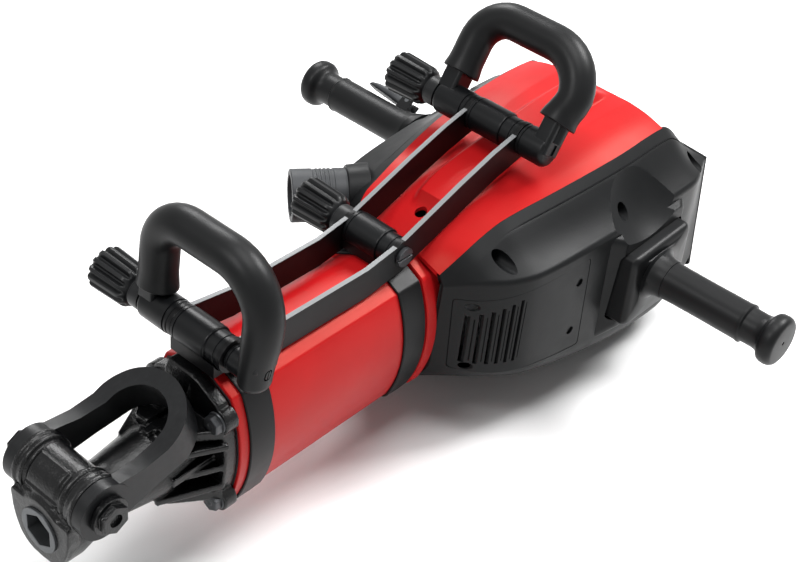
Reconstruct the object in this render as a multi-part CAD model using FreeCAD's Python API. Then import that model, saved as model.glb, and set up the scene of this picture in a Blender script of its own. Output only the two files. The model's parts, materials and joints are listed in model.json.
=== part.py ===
"""Electric breaker (jackhammer) lying on its back, with its handles upwards.

Millimetres.  The origin is the centre of the hexagonal tool socket's mouth.  +X runs along the hammer
axis towards the tool, +Y to the user's left and +Z up, towards the carrying handles.
"""
import FreeCAD, Part
import math
import os

V = FreeCAD.Vector
X_AXIS = V(1, 0, 0)
Y_AXIS = V(0, 1, 0)
Z_AXIS = V(0, 0, 1)

# Fits
RUNNING = 0.05           # radial clearance of a shaft in its bore
SEAT = 0.3               # space between neighbouring pieces that only lie against each other
FREE = 1.0               # space around a piece that moves past another
HEX_SIDES = 6
HEX_TURN = 60            # degrees from one corner to the next

# Tool socket and nose
HEX_AF = 28.6            # 1-1/8 inch hexagonal shank
BUSH_R = 21.0
BUSH_LENGTH = 110.0
NOSE_FACE_X = -2.0       # the bushing stands this far out of the nose
NOSE_R = 34.0
NOSE_BACK_X = -22.0
NOSE_HALF_Y = 37.0       # half width of the pivot boss
NOSE_ROUND = 4.0
NECK_R = 27.0
NECK_X = -72.0
BULGE_R = 32.0
BULGE_X = -112.0
FLANGE_FRONT_X = -158.0
FLANGE_BACK_X = -172.0
FLANGE_MARGIN = 4.0      # the flange stands back from the barrel's outline
RIB_THICK = 8.0
NOSE_BOLT_R = 5.0
NOSE_BOLT_HEAD_AF = 16.0
NOSE_BOLT_HEAD = 7.0
NOSE_BOLT_Y = 39.0
NOSE_BOLT_UP_Z = 44.0
NOSE_BOLT_DOWN_Z = -46.0

# Tool retainer yoke
PIVOT_X = -31.0
PIVOT_Z = 35.0
PIVOT_BOSS_R = 23.0
PIVOT_COLLAR_R = 25.5
PIVOT_COLLAR = 11.0
PIVOT_PIN_R = 8.0
YOKE_ANGLE = 22.0        # rise of the yoke's arms towards the rear
YOKE_EYE_R = 26.0
YOKE_EYE = 11.0
YOKE_REACH = 74.0        # pivot to the centre of the yoke's arch
YOKE_ARCH_R = 30.0       # inside radius of the arch
YOKE_BAR = 16.0          # width of the arms, seen from above
YOKE_SIDE = (            # side outline of the arms before they are raised: reach from the pivot, height
    (0, 20), (22, 14), (46, 2), (70, -4), (96, -2), (122, 2),
    (124, -18), (106, -33), (80, -34), (50, -28), (22, -24), (0, -20),
)
YOKE_DISC_R = 17.0
YOKE_DISC = 6.0
YOKE_HEAD_AF = 24.0
YOKE_HEAD = 6.0

# Striking parts
ANVIL_R = 19.0
ANVIL_TIP_R = 12.5
ANVIL_TIP = 30.0
ANVIL_BODY = 64.0
ANVIL_COLLAR = 18.0
ANVIL_REAR_R = 15.0
ANVIL_REAR = 15.0
BORE_R = 30.0            # cylinder bore
TUBE_R = 37.0
TUBE_END_X = -486.0
ROD_SLOT = 18.0          # slots in the tube's end for the swung rod
STRIKER_LENGTH = 60.0
STRIKER_NOSE = 16.0
STRIKER_NOSE_R = 14.0
STRIKER_TRAVEL = 76.0
RING_GROOVE = 3.0
RING_DEPTH = 2.0

# Crank drive, rest at the rear dead centre
CRANK_X = -540.0
CRANK_Z = 0.0
CRANK_THROW = 30.0
ROD_LENGTH = 110.0
ROD_WIDTH = 14.0
ROD_BAR = 18.0
ROD_SMALL_R = 15.0
ROD_BIG_R = 19.0
WRIST_R = 8.0
CRANKPIN_R = 9.0
PISTON_CROWN = 22.0      # wrist pin axis to the crown
PISTON_SKIRT = 22.0      # wrist pin axis to the skirt's end
PISTON_WALL = 6.0
GEAR_GAP = 2.3           # conrod to crank gear
SLOW_MODULE = 2.5
CRANK_TEETH = 42
LAY_TEETH = 14
FAST_MODULE = 1.5
LAY_GEAR_TEETH = 56
ROTOR_TEETH = 12
CRANK_GEAR_WIDTH = 15.0
LAY_GEAR_WIDTH = 12.0
GEAR_TIP = 0.9           # tooth height above and below the pitch circle, in modules
GEAR_ROOT = 1.25
BACKLASH = 0.35          # tooth thinning of each gear, on the pitch circle
CRANK_SHAFT_R = 12.5
LAY_SHAFT_R = 6.0
ROTOR_SHAFT_R = 7.0
LAY_ANGLE = 215.0        # direction from the crank axis to the layshaft
ROTOR_ANGLE = 185.0      # direction from the layshaft to the rotor
BEARING_WIDTH = 9.0
BEARING_WALL = 6.0       # ring of balls and races, from the shaft out

# Motor
STATOR_R = 46.0
STATOR_LENGTH = 52.0
STATOR_BORE_R = 29.0
ROTOR_R = 28.4
ROTOR_LENGTH = 50.0
COMMUTATOR_R = 17.0
COMMUTATOR_LENGTH = 14.0
FAN_R = 42.0
FAN_HUB_R = 14.0
FAN_WIDTH = 5.5
FAN_BLADE = 2.0
FAN_BLADES = 11
BRUSH = 8.0
MOTOR_WALL = 4.0
MOTOR_END_Y = -96.0

# Gear case
CASE_WALL = 6.0
CASE_FRONT_X = -432.0
CASE_BOSS_R = 44.0
CASE_BOX_X = -470.0
CASE_BACK_X = -604.0
CASE_RIGHT_Y = -46.0
CASE_LEFT_Y = 66.0
CASE_HALF_Z = 63.0
MOTOR_FACE_Y = -2.0      # the motor is flanged to the case here
CRANK_ROOM_X = -596.0    # back of the case beside the motor

# Barrel
BARREL_FRONT_X = -172.0
BARREL_END_X = -420.0
BARREL_WALL = 3.0
RIDGE = (12.0, 77.0)     # half outline of the barrel, as Y and Z, from the ridge down
SHOULDER = (28.0, 69.0)
EDGE = (41.0, 62.0)
FLANK = (53.0, 18.0)
HAUNCH = (40.0, -57.0)
SUMP = (35.0, -64.0)
KEEL = (26.0, -66.0)
COLLAR_OUT = 4.0         # the barrel's rear collar stands this far out
COLLAR_WIDTH = 12.0
BAND_THICK = 2.2
BAND_WIDTH = 29.0
FRONT_BAND_X = -182.0    # front edge of the front band
REAR_BAND_X = -377.0

# Handle rails and cross tubes
FRONT_TUBE_X = -181.0
FRONT_TUBE_Z = 99.0
MID_TUBE_X = -390.0
MID_TUBE_Z = 95.0
REAR_TUBE_X = -555.0
REAR_TUBE_Z = 149.0
CROSS_TUBE_R = 17.0
CROSS_BORE_R = 8.2
CROSS_BOLT_R = 8.0
RAIL_Y = 27.5            # inner face of a rail
RAIL_THICK = 5.0
RAIL_HEIGHT = 31.0
RAIL_EYE_R = 16.0
RAIL_FRONT_BENDS = ((-240, 88), (-345, 87))      # centre line's bends, as X and Z
RAIL_REAR_BENDS = ((-470, 122), (-515, 136))
RAIL_DROPS = (2, 1, 4)   # centre line below the front, middle and rear cross bolt

# Carrying handles
HANDLE_HALF = 62.0       # leg spacing, half
HANDLE_RISE = 91.0       # cross bolt to the grip's centre line
HANDLE_BEND = 42.0
HANDLE_ROD_R = 8.0
HANDLE_GRIP_R = 17.3
HANDLE_LUG_END = 71.0    # outer face of a lug
HANDLE_LUG_R = 17.5
HANDLE_BARE = 27.0       # rod left bare between the lug and the rubber
FRONT_LEAN = 5.0
REAR_LEAN = 33.0

# Knobs
KNOB_R = 21.0
KNOB_LENGTH = 45.0
KNOB_LOBES = 12
KNOB_FLUTE_R = 3.6
KNOB_SHOULDER_R = 19.5
KNOB_SHOULDER = 10.0
KNOB_NECK_R = 14.5
KNOB_NECK = 13.0
KNOB_GRIP_DEPTH = 30.0   # how far the bolt reaches into the knob
BOLT_HEAD_R = 9.5
BOLT_HEAD = 4.0
BOLT_SLOT = 2.0

# Motor housing: one row per station along X, half outline from the top centre line to the bottom
COVER_WALL = 4.0
STATIONS = (
    (-420, (86, 15), (72, 57), (60, 60), (-42, 62), (-62, 38)),
    (-440, (92, 19), (88, 62), (70, 91), (-43, 89), (-67, 50)),
    (-462, (100, 24), (97, 64), (72, 110), (-44, 108), (-76, 56)),
    (-490, (108, 28), (105, 67), (73, 121), (-52, 118), (-84, 64)),
    (-560, (119, 34), (113, 78), (74, 128), (-66, 125), (-108, 74)),
    (-640, (128, 40), (117, 85), (74, 132), (-82, 126), (-122, 80)),
    (-718, (127, 42), (117, 85), (74, 133), (-92, 124), (-122, 80)),
    (-768, (76, 42), (75, 84), (73, 113), (-60, 122), (-98, 76)),
)
SPINE_HALF_Y = 22.0      # raised spine along the top cover
SPINE_RISE = 8.0
SPINE_FRONT_X = -457.0
SPINE_STEP = 9.0         # length of its slanted front end
TOP_HOLE_X = -450.0
TOP_HOLE_R = 5.0
DISH_X = -636.0          # centre of the ball that hollows the side cover's dish
DISH_Y = 190.0
DISH_Z = 143.0
DISH_R = 102.0
WELL_WALL = 2.5
FRONT_WELL = (-466, 70, 83, 7.5)         # screw wells: X, floor's Y, Z and radius
DISH_WELL = (-621, 92, 77, 7.5)
REAR_WELL = (-746, 88, 78, 6.5)
MOUND_ROOT_Y = 125.0     # raised seat around a grip boot: inside the cover's wall, and its face
MOUND_FACE_Y = 140.0
MOUND_ROOT = ((-580, 80), (-590, -62), (-712, -62), (-712, 80))          # corners as X and Z
MOUND_FACE = ((-597, 66), (-607, -46), (-694, -46), (-694, 66))
REAR_PLATE = 4.0
PANEL_HALF_Y = 94.0      # red panel on the rear plate
PANEL_Z = 14.0
PANEL_HALF_Z = 30.0
PANEL_ROUND = 16.0
PANEL = 3.0

# Main grips
GRIP_X = -627.0
GRIP_Z = 26.0
GRIP_HALF_SPAN = 306.0
GRIP_R = 19.0
GRIP_TUBE_R = 12.5
GRIP_TUBE_WALL = 2.5
GRIP_FLANGE_R = 26.0
GRIP_FLANGE = 13.0
GRIP_WAIST_R = 17.5
GRIP_WAIST = 9.0
GRIP_COLLAR_R = 21.0
GRIP_COLLAR = 7.0
BOOT_X = -645.0
BOOT_Z = 8.0
BOOT_HALF_X = 47.0
BOOT_HALF_Z = 42.0
BOOT_IN_Y = 114.0
BOOT_FACE_Y = 152.0
BOOT_CONE_R = 24.0
BOOT_END_Y = 178.0
BOOT_ROUND = 10.0
GRIP_TRAVEL = 2.0
GUIDE_THICK = 8.0
GUIDE_REAR = 30.0
GUIDE_HALF_Z = 17.0
LEVER_START_Y = 186.0
LEVER_LENGTH = 56.0
LEVER_THICK = 7.0
LEVER_WIDTH = 13.0
LEVER_GAP = 6.0
LEVER_EAR = 3.0
LEVER_EAR_LENGTH = 14.0
LEVER_TILT = 35.0        # lever direction above the rear, around the grip
LEVER_PIN_R = 2.5

# Power inlet
INLET_X = -456.0         # centre of the inlet's root, inside the right cover
INLET_Y = -91.0
INLET_Z = 66.0
INLET_R = 24.0
INLET_LENGTH = 58.0
INLET_ANGLE = 51.0       # turn from straight sideways towards the front
INLET_WALL = 4.0
INLET_RIBS = 5

# Vent panel
VENT_FRONT_X = -425.0
VENT_IN_Y = 40.0         # the panel's opening is cut outwards from here
VENT_REAR_X = -558.0
VENT_TOP_Z = 52.0
VENT_BOTTOM_Z = -40.0
VENT_SLOTS = 6
VENT_SLOT = 3.0
VENT_SLOT_HEIGHT = 66.0
VENT_PITCH = 7.5
SCREW_R = 4.0


def point(axis, along, a, b):
    """The point at `along` on an axis-parallel line whose other coordinates are a and b, in X, Y, Z order."""
    return {"x": V(along, a, b), "y": V(a, along, b), "z": V(a, b, along)}[axis]


def direction(axis):
    return point(axis, 1, 0, 0)


def cylinder(axis, radius, start, end, a=0.0, b=0.0):
    low = min(start, end)
    return Part.makeCylinder(radius, abs(end - start), point(axis, low, a, b), direction(axis))


def cone(axis, start, start_r, end, end_r, a=0.0, b=0.0):
    """A truncated cone from radius start_r at start to radius end_r at end."""
    if start > end:
        start, start_r, end, end_r = end, end_r, start, start_r
    return Part.makeCone(start_r, end_r, end - start, point(axis, start, a, b), direction(axis))


def ring(axis, outer, inner, start, end, a=0.0, b=0.0):
    return cylinder(axis, outer, start, end, a, b).cut(cylinder(axis, inner, start, end, a, b))


def block(x0, x1, y0, y1, z0, z1):
    return Part.makeBox(x1 - x0, y1 - y0, z1 - z0, V(x0, y0, z0))


def prism(outline, axis, start, end):
    """A straight prism; the outline's points are the two coordinates across the axis."""
    corners = [point(axis, start, a, b) for a, b in outline]
    face = Part.Face(Part.makePolygon(corners + corners[:1]))
    return face.extrude(direction(axis) * (end - start))


def rounded_prism(outline, radius, axis, start, end):
    """A prism whose corners are all rounded to one radius."""
    edges = []
    count = len(outline)
    corners = [point(axis, start, a, b) for a, b in outline]
    tangents = []
    for i, corner in enumerate(corners):
        before = (corners[i - 1] - corner).normalize()
        after = (corners[(i + 1) % count] - corner).normalize()
        half_angle = before.getAngle(after) / 2
        reach = radius / math.tan(half_angle)
        middle = (before + after).normalize()
        apex = corner + middle * (radius / math.sin(half_angle) - radius)
        tangents.append((corner + before * reach, apex, corner + after * reach))
    for i, (first, apex, last) in enumerate(tangents):
        edges.append(Part.Arc(first, apex, last).toShape())
        edges.append(Part.LineSegment(last, tangents[(i + 1) % count][0]).toShape())
    return Part.Face(Part.Wire(edges)).extrude(direction(axis) * (end - start))


def rectangle(a0, a1, b0, b1):
    return [(a0, b0), (a1, b0), (a1, b1), (a0, b1)]


def hexagon(axis, across_flats, start, end, a=0.0, b=0.0):
    """A hexagonal prism with two corners on the axis's second cross direction."""
    r = across_flats / math.sqrt(3)
    angles = [math.radians(HEX_TURN * (i + 0.5)) for i in range(HEX_SIDES)]
    return prism([(a + r * math.cos(t), b + r * math.sin(t)) for t in angles], axis, start, end)


def turned(profile, y=0.0, z=0.0):
    """A body of revolution about X; the profile is a list of (x, radius) from front to rear."""
    ends = [(profile[0][0], 0.0)] + list(profile) + [(profile[-1][0], 0.0)]
    corners = [V(x, y, z + r) for x, r in ends]
    face = Part.Face(Part.makePolygon(corners + corners[:1]))
    return face.revolve(V(0, y, z), X_AXIS, 360)


def fuse(*shapes):
    return shapes[0].multiFuse(list(shapes[1:])).removeSplitter()


def cut(shape, *tools):
    for tool in tools:
        shape = shape.cut(tool)
    return shape


def spun(shape, x, z, degrees):
    """Turn a shape about the Y-parallel line through x and z."""
    copy = shape.copy()
    copy.rotate(V(x, 0, z), Y_AXIS, degrees)
    return copy


def mirrored(shape):
    """The same piece on the other side of the tool."""
    return shape.mirror(V(0, 0, 0), Y_AXIS)


def save(name, shape):
    shape.exportStep(f"parts/{name}.step")


# Nose

def nose_casting():
    """Cast nose: socket housing, pivot boss, waisted neck and bolting flange."""
    shank = turned([(NOSE_FACE_X, NOSE_R - NOSE_ROUND), (NOSE_FACE_X - NOSE_ROUND, NOSE_R),
                    (NOSE_BACK_X, NOSE_R), (PIVOT_X - PIVOT_BOSS_R, NECK_R), (NECK_X, NECK_R),
                    (BULGE_X, BULGE_R), (FLANGE_FRONT_X + 2 * NOSE_ROUND, BULGE_R - NOSE_ROUND),
                    (FLANGE_BACK_X, BULGE_R - NOSE_ROUND)])
    boss = cylinder("y", PIVOT_BOSS_R, -NOSE_HALF_Y, NOSE_HALF_Y, PIVOT_X, PIVOT_Z)
    collars = [cylinder("y", PIVOT_COLLAR_R, side * (NOSE_HALF_Y - PIVOT_COLLAR), side * NOSE_HALF_Y,
                        PIVOT_X, PIVOT_Z) for side in (-1, 1)]
    shoulder = block(PIVOT_X - PIVOT_BOSS_R / 2, NOSE_FACE_X - NOSE_ROUND,
                     -NOSE_R + NOSE_ROUND, NOSE_R - NOSE_ROUND, 0, PIVOT_Z - 2 * NOSE_ROUND)
    flange = barrel_slice(FLANGE_BACK_X, FLANGE_FRONT_X, -FLANGE_MARGIN)
    ribs = [block(FLANGE_FRONT_X, BULGE_X, -RIB_THICK / 2, RIB_THICK / 2, 0, BULGE_R + NOSE_ROUND)]
    ribs += [spun_x(ribs[0], turn) for turn in (90, 180, 270)]
    body = fuse(shank, boss, shoulder, flange, *collars, *ribs)
    bolts = [cylinder("x", NOSE_BOLT_R, FLANGE_BACK_X - FREE, FLANGE_FRONT_X + FREE, y, z)
             for y, z in nose_bolt_places()]
    spot_faces = [cylinder("x", NOSE_BOLT_HEAD_AF / 2 + 2 * FREE, FLANGE_FRONT_X,
                           FLANGE_FRONT_X + NOSE_BOLT_HEAD + FREE, y, z) for y, z in nose_bolt_places()]
    return cut(body,
               cylinder("x", BUSH_R, -BUSH_LENGTH, FREE),
               cylinder("x", ANVIL_R + RUNNING, FLANGE_BACK_X - FREE, -BUSH_LENGTH),
               cylinder("y", PIVOT_PIN_R + RUNNING, -NOSE_HALF_Y - FREE, NOSE_HALF_Y + FREE,
                        PIVOT_X, PIVOT_Z),
               *spot_faces, *bolts)


def spun_x(shape, degrees):
    copy = shape.copy()
    copy.rotate(V(0, 0, 0), X_AXIS, degrees)
    return copy


def nose_bolt_places():
    return [(side * NOSE_BOLT_Y, z) for side in (-1, 1) for z in (NOSE_BOLT_UP_Z, NOSE_BOLT_DOWN_Z)]


def nose_bolts():
    """Four hexagon bolts that hold the nose to the cylinder's flange."""
    bolts = []
    for y, z in nose_bolt_places():
        head = hexagon("x", NOSE_BOLT_HEAD_AF, FLANGE_FRONT_X, FLANGE_FRONT_X + NOSE_BOLT_HEAD, y, z)
        shank = cylinder("x", NOSE_BOLT_R - RUNNING, FLANGE_BACK_X, FLANGE_FRONT_X, y, z)
        bolts.append(fuse(head, shank))
    return Part.makeCompound(bolts)


def tool_bushing():
    return ring("x", BUSH_R, 1.0, -BUSH_LENGTH, 0).cut(hexagon("x", HEX_AF, -BUSH_LENGTH - FREE, FREE))


# Retainer yoke

def yoke():
    """Forged stirrup on the pivot pin; it is laid along -X and then raised about the pivot."""
    inner = YOKE_ARCH_R
    outer = YOKE_ARCH_R + YOKE_BAR
    eye_y = NOSE_HALF_Y + SEAT
    arch_x = PIVOT_X - YOKE_REACH
    plan = fuse(prism(taper(arch_x, outer, eye_y + YOKE_EYE), "z", -NOSE_R, 3 * NOSE_R),
                cylinder("z", outer, -NOSE_R, 3 * NOSE_R, arch_x, 0))
    gap = fuse(prism(taper(arch_x, inner, eye_y), "z", -NOSE_R, 3 * NOSE_R),
               cylinder("z", inner, -NOSE_R, 3 * NOSE_R, arch_x, 0))
    side = prism([(PIVOT_X - reach, PIVOT_Z + height) for reach, height in YOKE_SIDE],
                 "y", -2 * outer, 2 * outer)
    collars = cylinder("y", PIVOT_COLLAR_R + FREE, -eye_y, eye_y, PIVOT_X, PIVOT_Z)
    bow = plan.common(side).cut(gap).cut(collars)
    eyes = [cylinder("y", YOKE_EYE_R, side * eye_y, side * (eye_y + YOKE_EYE), PIVOT_X, PIVOT_Z)
            for side in (-1, 1)]
    pin = cylinder("y", PIVOT_PIN_R + RUNNING, -2 * outer, 2 * outer, PIVOT_X, PIVOT_Z)
    return spun(cut(fuse(bow, *eyes), pin), PIVOT_X, PIVOT_Z, YOKE_ANGLE)


def taper(arch_x, arch_y, eye_y):
    """Plan outline of the yoke's two arms between the arch and the pivot."""
    return [(arch_x, -arch_y), (PIVOT_X, -eye_y), (PIVOT_X, eye_y), (arch_x, arch_y)]


def yoke_end_y():
    return NOSE_HALF_Y + SEAT + YOKE_EYE + SEAT


def yoke_bolt():
    """Pivot bolt with its head and disc on the user's left."""
    y = yoke_end_y()
    shank = cylinder("y", PIVOT_PIN_R, -y - YOKE_DISC - YOKE_HEAD, y, PIVOT_X, PIVOT_Z)
    disc = cylinder("y", YOKE_DISC_R, y, y + YOKE_DISC, PIVOT_X, PIVOT_Z)
    head = hexagon("y", YOKE_HEAD_AF, y + YOKE_DISC, y + YOKE_DISC + YOKE_HEAD, PIVOT_X, PIVOT_Z)
    socket = cylinder("y", YOKE_HEAD_AF / 4, y + YOKE_DISC + YOKE_HEAD / 2, y + YOKE_DISC + YOKE_HEAD + FREE,
                      PIVOT_X, PIVOT_Z)
    return cut(fuse(shank, disc, head), socket)


def yoke_nut():
    y = -yoke_end_y()
    disc = ring("y", YOKE_DISC_R, PIVOT_PIN_R + RUNNING, y, y - YOKE_DISC, PIVOT_X, PIVOT_Z)
    nut = hexagon("y", YOKE_HEAD_AF, y - YOKE_DISC, y - YOKE_DISC - YOKE_HEAD, PIVOT_X, PIVOT_Z)
    hole = cylinder("y", PIVOT_PIN_R + RUNNING, y, y - YOKE_DISC - YOKE_HEAD - FREE, PIVOT_X, PIVOT_Z)
    return cut(fuse(disc, nut), hole)


# Barrel

def barrel_slice(x0, x1, outset=0.0):
    """A slice of the barrel's outline between two X positions, grown outwards by outset."""
    def at(pair, side=1):
        return V(x0, side * pair[0], pair[1])
    chain = [RIDGE, SHOULDER, EDGE]
    edges = []
    for side in (1, -1):
        edges += [Part.LineSegment(at(a, side), at(b, side)).toShape() for a, b in zip(chain, chain[1:])]
        edges.append(Part.Arc(at(EDGE, side), at(FLANK, side), at(HAUNCH, side)).toShape())
        edges.append(Part.Arc(at(HAUNCH, side), at(SUMP, side), at(KEEL, side)).toShape())
    edges.append(Part.LineSegment(at(RIDGE, -1), at(RIDGE)).toShape())
    edges.append(Part.LineSegment(at(KEEL), at(KEEL, -1)).toShape())
    wire = Part.Wire(Part.__sortEdges__(edges))
    if outset:
        wire = wire.makeOffset2D(outset)
    return Part.Face(wire).extrude(X_AXIS * (x1 - x0))


def barrel_cover():
    """Red shell around the cylinder, with a collar where it meets the motor housing."""
    outer = barrel_slice(BARREL_END_X, BARREL_FRONT_X)
    collar = barrel_slice(BARREL_END_X, BARREL_END_X + COLLAR_WIDTH, COLLAR_OUT)
    inner = barrel_slice(BARREL_END_X - FREE, BARREL_FRONT_X + FREE, -BARREL_WALL)
    return cut(fuse(outer, collar), inner)


def band(front_x, tube_x, tube_z):
    """Clamp band around the barrel with a saddle for a cross tube."""
    hoop = barrel_slice(front_x - BAND_WIDTH, front_x, BAND_THICK)
    saddle = block(tube_x - CROSS_TUBE_R, tube_x + CROSS_TUBE_R - FREE, -RAIL_Y + FREE, RAIL_Y - FREE,
                   EDGE[1], tube_z)
    room = barrel_slice(BARREL_END_X, FLANGE_FRONT_X, SEAT / 2)
    tube = cylinder("y", CROSS_TUBE_R, -RAIL_Y, RAIL_Y, tube_x, tube_z)
    return cut(fuse(hoop, saddle), room, tube)


def cylinder_tube():
    """Steel cylinder in which the piston and the striker run."""
    tube = ring("x", TUBE_R, BORE_R, TUBE_END_X, FLANGE_BACK_X)
    flange = barrel_slice(FLANGE_BACK_X - 2 * NOSE_BOLT_HEAD, FLANGE_BACK_X, -BARREL_WALL - SEAT)
    flange = cut(flange, cylinder("x", BORE_R, FLANGE_BACK_X - 3 * NOSE_BOLT_HEAD, FLANGE_BACK_X + FREE))
    half = ROD_WIDTH / 2 + 2 * FREE
    slots = block(TUBE_END_X - FREE, TUBE_END_X + ROD_SLOT, -half, half, -2 * TUBE_R, 2 * TUBE_R)
    return cut(fuse(tube, flange), slots)


# Striking parts

def anvil():
    """Impact bolt between the striker and the tool."""
    tip_x = -BUSH_LENGTH - SEAT
    body_x = tip_x - ANVIL_TIP
    collar_x = body_x - ANVIL_BODY
    collar_end = collar_x - ANVIL_COLLAR
    return turned([(tip_x, ANVIL_TIP_R), (body_x, ANVIL_TIP_R), (body_x, ANVIL_R), (collar_x, ANVIL_R),
                   (collar_x, BORE_R - RUNNING), (collar_end, BORE_R - RUNNING),
                   (collar_end, ANVIL_REAR_R), (collar_end - ANVIL_REAR, ANVIL_REAR_R)])


def anvil_rear_x():
    return -BUSH_LENGTH - SEAT - ANVIL_TIP - ANVIL_BODY - ANVIL_COLLAR - ANVIL_REAR


def striker():
    """Free piston thrown forward by the air cushion."""
    front = anvil_rear_x() - STRIKER_TRAVEL - SEAT
    body = turned([(front, STRIKER_NOSE_R), (front - STRIKER_NOSE, STRIKER_NOSE_R),
                   (front - STRIKER_NOSE, BORE_R - RUNNING), (front - STRIKER_LENGTH, BORE_R - RUNNING)])
    start = front - STRIKER_LENGTH + RING_GROOVE
    return cut(body, ring("x", BORE_R, BORE_R - RING_DEPTH, start, start + RING_GROOVE))


def wrist_x():
    return CRANK_X - CRANK_THROW + ROD_LENGTH


def piston():
    """Hollow drive piston, open towards the crank."""
    crown = wrist_x() + PISTON_CROWN
    skirt = wrist_x() - PISTON_SKIRT
    outer_r = BORE_R - RUNNING
    body = cylinder("x", outer_r, skirt, crown)
    hollow = cylinder("x", outer_r - PISTON_WALL, skirt, crown - PISTON_WALL)
    pin = cylinder("y", WRIST_R + RUNNING, -BORE_R, BORE_R, wrist_x(), CRANK_Z)
    groove = ring("x", BORE_R, outer_r - RING_DEPTH, crown - 2 * RING_GROOVE, crown - RING_GROOVE)
    return cut(body, hollow, pin, groove)


def wrist_pin():
    half = BORE_R - PISTON_WALL / 2
    return ring("y", WRIST_R, WRIST_R / 2, -half, half, wrist_x(), CRANK_Z)


def connecting_rod():
    crankpin_x = CRANK_X - CRANK_THROW
    half = ROD_WIDTH / 2
    small = cylinder("y", ROD_SMALL_R, -half, half, wrist_x(), CRANK_Z)
    big = cylinder("y", ROD_BIG_R, -half, half, crankpin_x, CRANK_Z)
    bar = block(crankpin_x, wrist_x(), -half, half, CRANK_Z - ROD_BAR / 2, CRANK_Z + ROD_BAR / 2)
    return cut(fuse(small, big, bar),
               cylinder("y", WRIST_R + RUNNING, -ROD_WIDTH, ROD_WIDTH, wrist_x(), CRANK_Z),
               cylinder("y", CRANKPIN_R, -ROD_WIDTH, ROD_WIDTH, crankpin_x, CRANK_Z))


def crank_pin():
    """Crank pin; it travels with the rod and stops short of the crank gear's face."""
    end = ROD_WIDTH / 2 + GEAR_GAP
    return cylinder("y", CRANKPIN_R, -ROD_WIDTH / 2, end - SEAT, CRANK_X - CRANK_THROW, CRANK_Z)


# Gears

def gear(teeth, module, start, end, x, z, turn):
    """Spur gear with straight-flanked teeth; a tooth's centre stands at the angle `turn`."""
    pitch_r = teeth * module / 2
    root_r, tip_r = pitch_r - GEAR_ROOT * module, pitch_r + GEAR_TIP * module
    half_pitch = math.pi / 2 / teeth - BACKLASH / 2 / pitch_r
    flank = math.tan(math.radians(20))
    outline = []
    for i in range(teeth):
        middle = math.radians(turn) + 2 * math.pi * i / teeth
        for r, side in ((root_r, -1), (tip_r, -1), (tip_r, 1), (root_r, 1)):
            half = half_pitch + (pitch_r - r) * flank / pitch_r
            angle = middle + side * half
            outline.append((x + r * math.cos(angle), z + r * math.sin(angle)))
    return prism(outline, "y", start, end)


def polar(x, z, distance, degrees):
    return (x + distance * math.cos(math.radians(degrees)), z + distance * math.sin(math.radians(degrees)))


def lay_axis():
    return polar(CRANK_X, CRANK_Z, SLOW_MODULE * (CRANK_TEETH + LAY_TEETH) / 2, LAY_ANGLE)


def rotor_axis():
    x, z = lay_axis()
    return polar(x, z, FAST_MODULE * (LAY_GEAR_TEETH + ROTOR_TEETH) / 2, ROTOR_ANGLE)


def crank_gear():
    """Crank gear with its shaft; the crank pin's seat is blind, because the pin travels with the rod."""
    start = ROD_WIDTH / 2 + GEAR_GAP
    wheel = gear(CRANK_TEETH, SLOW_MODULE, start, start + CRANK_GEAR_WIDTH, CRANK_X, CRANK_Z, LAY_ANGLE)
    shaft = cylinder("y", CRANK_SHAFT_R, start, CASE_LEFT_Y, CRANK_X, CRANK_Z)
    return fuse(wheel, shaft)


def layshaft():
    """Layshaft with its large gear and its pinion."""
    x, z = lay_axis()
    start = ROD_WIDTH / 2 + GEAR_GAP - FREE
    pinion_end = start + CRANK_GEAR_WIDTH + 2 * FREE
    half_tooth = 180 / LAY_TEETH
    pinion = gear(LAY_TEETH, SLOW_MODULE, start, pinion_end, x, z, LAY_ANGLE + 180 + half_tooth)
    wheel_start = pinion_end + 4 * FREE
    wheel = gear(LAY_GEAR_TEETH, FAST_MODULE, wheel_start, wheel_start + LAY_GEAR_WIDTH, x, z, ROTOR_ANGLE)
    shaft = cylinder("y", LAY_SHAFT_R, MOTOR_FACE_Y, CASE_LEFT_Y, x, z)
    return fuse(pinion, wheel, shaft)


def rotor_shaft():
    """Rotor shaft with the motor pinion cut on its end."""
    x, z = rotor_axis()
    start = ROD_WIDTH / 2 + GEAR_GAP + CRANK_GEAR_WIDTH + 4 * FREE
    half_tooth = 180 / ROTOR_TEETH
    pinion = gear(ROTOR_TEETH, FAST_MODULE, start, start + LAY_GEAR_WIDTH + 4 * FREE, x, z,
                  ROTOR_ANGLE + 180 + half_tooth)
    shaft = cylinder("y", ROTOR_SHAFT_R, MOTOR_END_Y + MOTOR_WALL + FREE, CASE_LEFT_Y, x, z)
    return fuse(pinion, shaft)


def bearing(shaft_r, start, x, z):
    outer = shaft_r + BEARING_WALL
    return ring("y", outer, shaft_r + RUNNING, start, start + BEARING_WIDTH, x, z)


def bearing_places():
    """Shaft radius, start and axis of each bearing."""
    left = CASE_LEFT_Y - CASE_WALL - BEARING_WIDTH
    return [(CRANK_SHAFT_R, left, (CRANK_X, CRANK_Z)),
            (LAY_SHAFT_R, left, lay_axis()),
            (ROTOR_SHAFT_R, left, rotor_axis()),
            (ROTOR_SHAFT_R, MOTOR_END_Y + MOTOR_WALL, rotor_axis())]


def bearings():
    return Part.makeCompound([bearing(r, start, x, z) for r, start, (x, z) in bearing_places()])


def lay_wheel_r():
    """Tip radius of the layshaft's large gear."""
    return FAST_MODULE * (LAY_GEAR_TEETH / 2 + GEAR_TIP)


def can_r():
    return STATOR_R + MOTOR_WALL


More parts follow.
